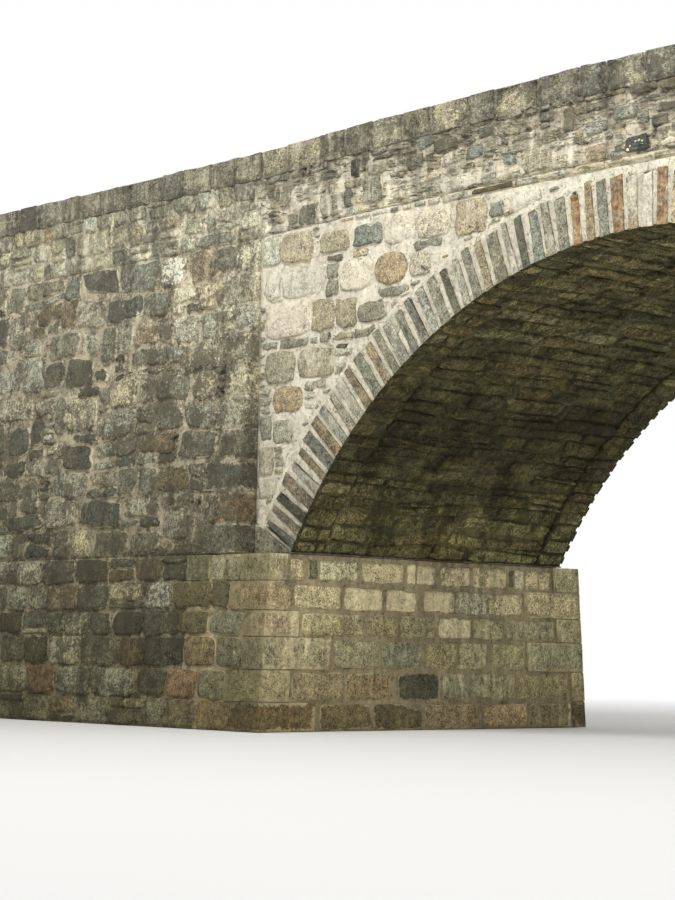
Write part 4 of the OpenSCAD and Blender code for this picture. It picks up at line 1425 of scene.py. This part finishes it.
def build_spandrel(k, face, side):
    """A wall above the ring. k is 0 for the one in view."""
    rng = RandomState(120 + k)
    work = Masonry()
    wall = upright_wall(SIDES[side], FACES[face])
    limit = BACK_R - 0.012
    clip = functools.partial(clip_to_spandrel, back_of_ring=limit)
    levels = np.array(SPANDREL_LEVELS)
    if k:
        levels[1:-1] += rng.uniform(-0.03, 0.03, len(levels) - 2)
    cells = course_cells(levels, -JOINT_X + 0.012, 0.1, (0.26, 0.6), rng, SPANDREL_MIX, split=0.14,
                         slope=0.05)
    for a, b, low, high, kind, squareness in [] if k else LEFT_SPANDREL:
        cells = set_in(cells, (a - 0.02, b + 0.02), (low - 0.018, high + 0.018), kind, squareness=squareness)
    cells = [dict(cell, clip=clip) for cell in fill_slivers(cells, rng, PINNING_MIX)]
    lay_cells(cells, work, wall, rng, (-JOINT_X, 0.0, 2.0, WING_Z + 0.2), warp=0.018, seed=131 + k,
              joint=0.012, skew=0.08, squareness=0.92, wobble=0.009, rough=0.018, dome=0.009, proud=0.009)

    # Pinnings between the ring and the courses
    reach = math.asin((JOINT_X - 0.08) / (limit + 0.05))
    angle = 0.0
    while angle < reach:
        angle += rng.uniform(0.018, 0.045)
        if rng.random() < 0.35:
            continue
        r = limit + rng.uniform(0.025, 0.05)
        middle = (-r * math.sin(angle), ARCH_Z + r * math.cos(angle))
        long, thin = rng.uniform(0.035, 0.075), rng.uniform(0.014, 0.026)
        lean = angle * rng.uniform(0.3, 1.0)
        turn = np.array([[math.cos(lean), math.sin(lean)], [-math.sin(lean), math.cos(lean)]])
        corners = four_sided(-long, long, -thin, thin) @ turn + middle
        outline = clip(stone_outline(corners, rng, 0.8, corner=0.15, wobble=0.003, per_side=3))
        if outline is not None and outline[:, 1].max() < WING_Z - 0.02:
            lay_stone(work, wall, outline, pick(PINNING_MIX, rng), rng, back=0.012, rough=0.005, dome=0.002)

    # Thin stones make up the rise of the road line
    s = -4.3
    while s < -SLAB_REACH - 0.12:
        wide = rng.uniform(0.1, 0.3)
        low, high = levels[-1] + 0.004, road_z(s + wide / 2) - 0.01
        if high - low > 0.026:
            outline = stone_outline(four_sided(s, s + wide, low, high), rng, 0.85, wobble=0.004, per_side=3)
            lay_stone(work, wall, outline, pick(SPANDREL_MIX, rng), rng, rough=0.012, dome=0.002)
        s += wide + rng.uniform(0.02, 0.05)

    def bottom(s):
        # The mortar runs a little way into the backs of the ring stones
        x = np.clip(s, -JOINT_X + 0.07, 0)
        r = BACK_R - RING_STAGGER / 2 - 0.03
        return np.minimum(ARCH_Z + np.sqrt(r * r - x * x), road_z(s) - 0.1)

    mortar_bed(work, wall, (-JOINT_X, 0.0), bottom, lambda s: np.maximum(spandrel_top(s), bottom(s) + 0.02),
               WALL_T, cell=0.06, face=0.028, swell=0.01)
    work.build(f"spandrel_{face}_{side}", "masonry", "spandrel", "spandrel_rubble")


# parapets, slabs and coping

# Stones that stand out in the front parapet: from, to, bottom and top above the road line, kind
FRONT_PARAPET = [
    (-1.54, -1.19, 0.02, 0.26, "beige"), (-1.15, -0.82, 0.02, 0.15, "beige"),
    (-0.74, -0.48, 0.02, 0.17, "pink"), (-0.26, 0.04, 0.02, 0.17, "black"),
    (0.06, 0.26, 0.22, 0.32, "grey_dark"), (0.11, 0.34, 0.35, 0.42, "grey_dark"),
    (-2.11, -1.9, 0.48, 0.57, "blue_grey"), (-4.4, -4.05, 0.05, 0.3, "grey"),
    (-3.75, -3.47, 0.08, 0.35, "grey"), (-5.67, -5.4, 0.12, 0.3, "pale"), (-4.91, -4.75, 0.06, 0.19, "grey"),
    (-3.93, -3.8, 0.39, 0.58, "black"), (-4.02, -3.9, 0.1, 0.28, "grey_dark"),
    (-1.78, -1.6, 0.16, 0.24, "blue_grey"), (-2.05, -1.86, 0.01, 0.1, "grey"),
]
# Chalky spots on the black stone beside the crown: along the parapet and above the road line
CHALK_SPOTS = [(-0.215, 0.055), (-0.185, 0.085), (-0.12, 0.12), (-0.082, 0.122), (-0.042, 0.112),
               (-0.045, 0.08)]


def stretches(start, end, lengths, rest, rng):
    """Divides a run into stretches. A rest that would be shorter joins the last one."""
    while start < end:
        stop = start + rng.uniform(*lengths)
        stop = end if stop > end - rest else stop
        yield start, stop
        start = stop


def parapet_cells(rng, levels):
    """Stones of one face of a parapet, thin ones over the spandrels and larger ones over the wing walls."""
    cells = []
    for start, stop in stretches(-JOINT_X + 0.1, JOINT_X - 0.1, (0.5, 1.5), 0.6, rng):
        n = rng.randint(5, 10)
        own = np.linspace(0, PARAPET_H, n + 1)
        own[1:-1] += rng.uniform(-0.22, 0.22, n - 1) * PARAPET_H / n
        cells += course_cells(own, start, stop, (0.13, 0.46), rng, PARAPET_MIX, split=0.0)
    for cell in cells:
        # The lowest courses are as pale as the wall below them
        if cell["t"][1] < 0.34 and rng.random() < 0.75 - 1.4 * cell["t"][0]:
            cell["kind"] = pick(SPANDREL_MIX, rng)
    for _ in range(26):
        s = rng.uniform(-JOINT_X + 0.1, JOINT_X - 0.5)
        k = rng.randint(0, 6)
        cells = set_in(cells, (s, s + rng.uniform(0.16, 0.36)),
                       (levels[k], levels[k + 2 + rng.randint(0, 2)]), pick(PARAPET_MIX, rng),
                       squareness=0.75)
    for ends in ((-END_X + 0.5, -JOINT_X + 0.1), (JOINT_X - 0.1, END_X - 0.5)):
        for start, stop in stretches(*ends, (1.0, 2.0), 0.8, rng):
            own = [0.0, rng.uniform(0.14, 0.28), rng.uniform(0.38, 0.5), PARAPET_H]
            cells += course_cells(own, start, stop, (0.2, 0.5), rng, PARAPET_END_MIX, split=0.2, slope=0.06)
    return cells


def build_parapets():
    """Rubble on the outer and the road side of both parapets."""
    joints = (-END_X, -JOINT_X, JOINT_X, END_X)
    levels = [0.0, 0.09, 0.175, 0.25, 0.34, 0.42, 0.5, 0.585, PARAPET_H]
    for face, sy in FACES.items():
        rng = RandomState(150 + (sy < 0))
        works = [Masonry() for _ in range(3)]
        outside, inside = parapet_face(sy), parapet_face(sy, INNER_Y, -1)

        def work_at(s, _=0.0):
            return works[np.searchsorted(joints[1:3], s, "right")]

        # Through stones close both ends
        for end in (-1, 1):
            for k in range(4):
                width = (0.3 if k % 2 else 0.48) * rng.uniform(0.9, 1.1)
                block_in_wall(work_at(end * END_X), outside, (end * END_X, end * (END_X - width)),
                              (levels[2 * k] + 0.006, levels[2 * k + 2] - 0.006), (0.0, WALL_T),
                              pick(PARAPET_MIX, rng), rng, radius=0.018, cell=0.08,
                              joints=((ALONG, -end), (UPWARD, 1), (UPWARD, -1)))
        for seed, wall in ((161, outside), (162, inside)):
            cells = parapet_cells(rng, levels)
            for a, b, low, high, kind in FRONT_PARAPET if face == "front" and wall is outside else []:
                cells = set_in(cells, (a - 0.012, b + 0.012), (low - 0.008, high + 0.012), kind)
            lay_cells(cells, work_at, wall, rng, (-END_X + 0.4, END_X - 0.4, 0.0, PARAPET_H), warp=0.035,
                      seed=seed, joint=0.01, skew=0.08, squareness=0.94, corner=0.12, wobble=0.007,
                      per_side=3, rough=0.02, dome=0.001, proud=0.01, back=0.007)
        spot_rng = RandomState(152)
        for s, t in CHALK_SPOTS if face == "front" else []:
            wide, tall = spot_rng.uniform(0.015, 0.024), spot_rng.uniform(0.013, 0.02)
            outline = stone_outline(four_sided(s - wide, s + wide, t - tall, t + tall), spot_rng, 0.3,
                                    corner=0.2, wobble=0.002, per_side=2)
            lay_stone(works[1], outside, outline, "white", spot_rng, back=0.0, rough=0.001, dome=0.001,
                      bed=0.03, proud=0.0, layered=0.15, hem=0.0)
        for part, work, a, b in zip(("left", "middle", "right"), works, joints, joints[1:]):
            ends = (max(a, -END_X + 0.02), min(b, END_X - 0.02))
            mortar_bed(work, outside, ends, 0.0, PARAPET_H, WALL_T, cell=0.1, face=0.03, swell=0.014,
                       far_face=0.03)
            work.build(f"parapet_{face}_{part}", "masonry", "parapet" if part == "middle" else "parapet_end",
                       "parapet_rubble")


def build_slab_course():
    """Thin slabs between the rings at the crown and the parapets."""
    for face, sy in FACES.items():
        rng = RandomState(170 + (sy < 0))
        node = f"slab_course_{face}"
        work = Masonry()
        for points in loose_parts(node):
            s0, s1 = extent(points, 0)
            beds = (-SLAB_T + rng.uniform(0.004, 0.026), -rng.uniform(0.001, 0.016))
            block_in_wall(work, lambda s, t, d: spaced(s, d, road_z(s) + t), (s0 - 0.004, s1 + 0.004), beds,
                          extent(points, 1), pick(SLAB_MIX, rng), rng, radius=0.016, rough=0.01,
                          cell=(0.06, 0.04, 0.15), lump=0.09, joints=((ALONG, 1), (ALONG, -1)))
        mortar_bed(work, parapet_face(sy), (-SLAB_REACH, SLAB_REACH), -SLAB_T, 0.0, WALL_T, cell=0.06,
                   face=0.03)
        work.build(node, "slabs", "slab", "coping_stone")


def build_coping(face, part):
    """Rough stones on edge along the top of a parapet."""
    node = f"coping_{face}_{part}"
    rng = RandomState(sum(map(ord, node)))
    work = Masonry()
    for points in loose_parts(node):
        shape = four_corners(points)
        half = (distance(shape[0], shape[1]) / 2 + 0.016, distance(shape[0], shape[3]) / 2)
        # The tops are worn down nearly to one line, and the lower arris is bedded in the wall
        line = road_z(shape[2:, 0]) + PARAPET_H + COPING_LINE
        shape[2:, 1] = np.minimum(shape[2:, 1], line + rng.uniform(-0.005, 0.006, 2))
        shape[:2, 1] -= 0.03
        rough_prism(work, shape, extent(points, 1), half, pick(COPING_MIX, rng), rng, radius=0.016,
                    rough=0.013, cell=0.085, wear=0.008, lump=0.15,
                    joints=((ALONG, 1), (ALONG, -1), (UPWARD, -1)))
    low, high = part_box(node)
    mortar_bed(work, parapet_face(FACES[face]), (low[0] + 0.02, high[0] - 0.02), PARAPET_H - 0.005,
               PARAPET_H + COPING_LINE - 0.02, WALL_T, cell=0.1, face=0.026, swell=0.008, far_face=0.026)
    work.build(node, "stones", "coping", "coping_stone")


# road and fill

def build_road():
    """A gravel surface with wheel tracks, and loose stones."""
    rng = RandomState(181)
    work = Masonry()
    cell, track_y = 0.12, 0.72
    ns, nt = int(2 * END_X / cell), int(2 * INNER_Y / cell)
    x, y = (grid.ravel() for grid in np.meshgrid(np.linspace(-END_X, END_X, ns + 1),
                                                 np.linspace(-INNER_Y, INNER_Y, nt + 1), indexing="ij"))
    tracks = np.exp(-((np.abs(y) - track_y) / 0.22) ** 2)
    sunk = 0.008 + 0.018 * tracks + 0.006 * (1 + crags(spaced(x, y, 0.0), 0.5, 2))
    faces, kept = slab_faces(ns, nt)
    points = np.concatenate([spaced(x, y, road_z(x) + ROAD_LIFT - down) for down in (sunk, ROAD_T)])[kept]
    work.add(points, faces, ((0.27, 0.24, 0.18, 1), (0.5, 0.1, 0, 1)), 0.0)
    # The loose stones lie thickest along the parapets and between the wheel tracks
    count = 0
    while count < 320:
        x, y = rng.uniform(-END_X + 0.05, END_X - 0.05), rng.uniform(-INNER_Y + 0.06, INNER_Y - 0.06)
        track = math.exp(-((abs(y) - track_y) / 0.25) ** 2)
        if rng.random() < 0.2 + 0.75 * track:
            continue
        size = rng.uniform(0.012, 0.034)
        z = road_z(x) + ROAD_LIFT - 0.014 - 0.018 * track
        rough_block(work, lambda a, b, c: spaced(x + a, y + c, z + b), (size, size * 0.55, size * 0.8),
                    pick(PARAPET_MIX, rng), rng, radius=size * 0.5, rough=0.002, cell=1.0, lump=0.03,
                    plain=True)
        count += 1
    work.build("roadway", "gravel", "gravel", "road_gravel")


def dress_fill():
    """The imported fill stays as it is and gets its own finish."""
    finish = packed_fill()
    for side in SIDES:
        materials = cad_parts[f"fill_{side}"].data.materials
        materials.clear()
        materials.append(finish)


# studio

def build_studio():
    """A pale floor that fades to white far off, a white surround and soft lamps."""
    scene = bpy.context.scene
    scene.view_settings.view_transform = "Standard"
    scene.world = bpy.data.worlds.new("studio")
    wire = emptied(scene.world)
    path = wire("LightPath")
    seen = wire.math("MAXIMUM", path["Is Camera Ray"], path["Is Glossy Ray"])
    seen = wire.math("MAXIMUM", seen, path["Is Transmission Ray"])
    soft, white = (wire("Background", {"Color": (1, 1, 1), "Strength": strength})[0]
                   for strength in (0.5, 1.0))
    wire("OutputWorld", {"Surface": wire("MixShader", {0: seen, 1: soft, 2: white})[0]})

    material = bpy.data.materials.new("studio floor")
    wire = emptied(material)
    away = wire("VectorMath", {0: wire.place()}, operation="LENGTH")["Value"]
    far = wire.times(wire.ramp(away, 11.0, 26.0), wire("LightPath")["Is Camera Ray"])
    matt = wire("BsdfPrincipled", {"Base Color": (0.8, 0.79, 0.77), "Roughness": 0.9})[0]
    glow = wire("Emission", {"Color": (1, 1, 1), "Strength": 1.0})[0]
    wire("OutputMaterial", {"Surface": wire("MixShader", {0: far, 1: matt, 2: glow})[0]})
    mesh = bpy.data.meshes.new("studio_floor")
    reach = 150
    mesh.from_pydata([(*corner, -0.002) for corner in four_sided(-reach, reach, -reach, reach).tolist()], [],
                     [(0, 1, 2, 3)])
    mesh.materials.append(material)
    floor = bpy.data.objects.new("studio_floor", mesh)
    scene.collection.objects.link(floor)

    for name, at, size, power in (("key_lamp", (2, -13, 19), 7, 2600), ("fill_lamp", (19, -9, 9), 12, 900),
                                  ("back_lamp", (0, 18, 15), 14, 1100)):
        data = bpy.data.lights.new(name, "AREA")
        data.shape = "DISK"
        data.size = size
        data.energy = power
        lamp = bpy.data.objects.new(name, data)
        lamp.location = at
        lamp.rotation_euler = (Vector((-2, 0, 3)) - lamp.location).to_track_quat("-Z", "Y").to_euler()
        scene.collection.objects.link(lamp)


# all pieces

place_camera()
build_studio()
for side, sx in SIDES.items():
    build_side(side, sx)
    build_springer(side, sx)
build_vault()
build_rings()
for k, (face, side) in enumerate(itertools.product(FACES, SIDES)):
    build_spandrel(k, face, side)
build_parapets()
build_slab_course()
for face, part in itertools.product(FACES, ("left", "middle", "right")):
    build_coping(face, part)
build_road()
dress_fill()

bpy.context.view_layer.update()
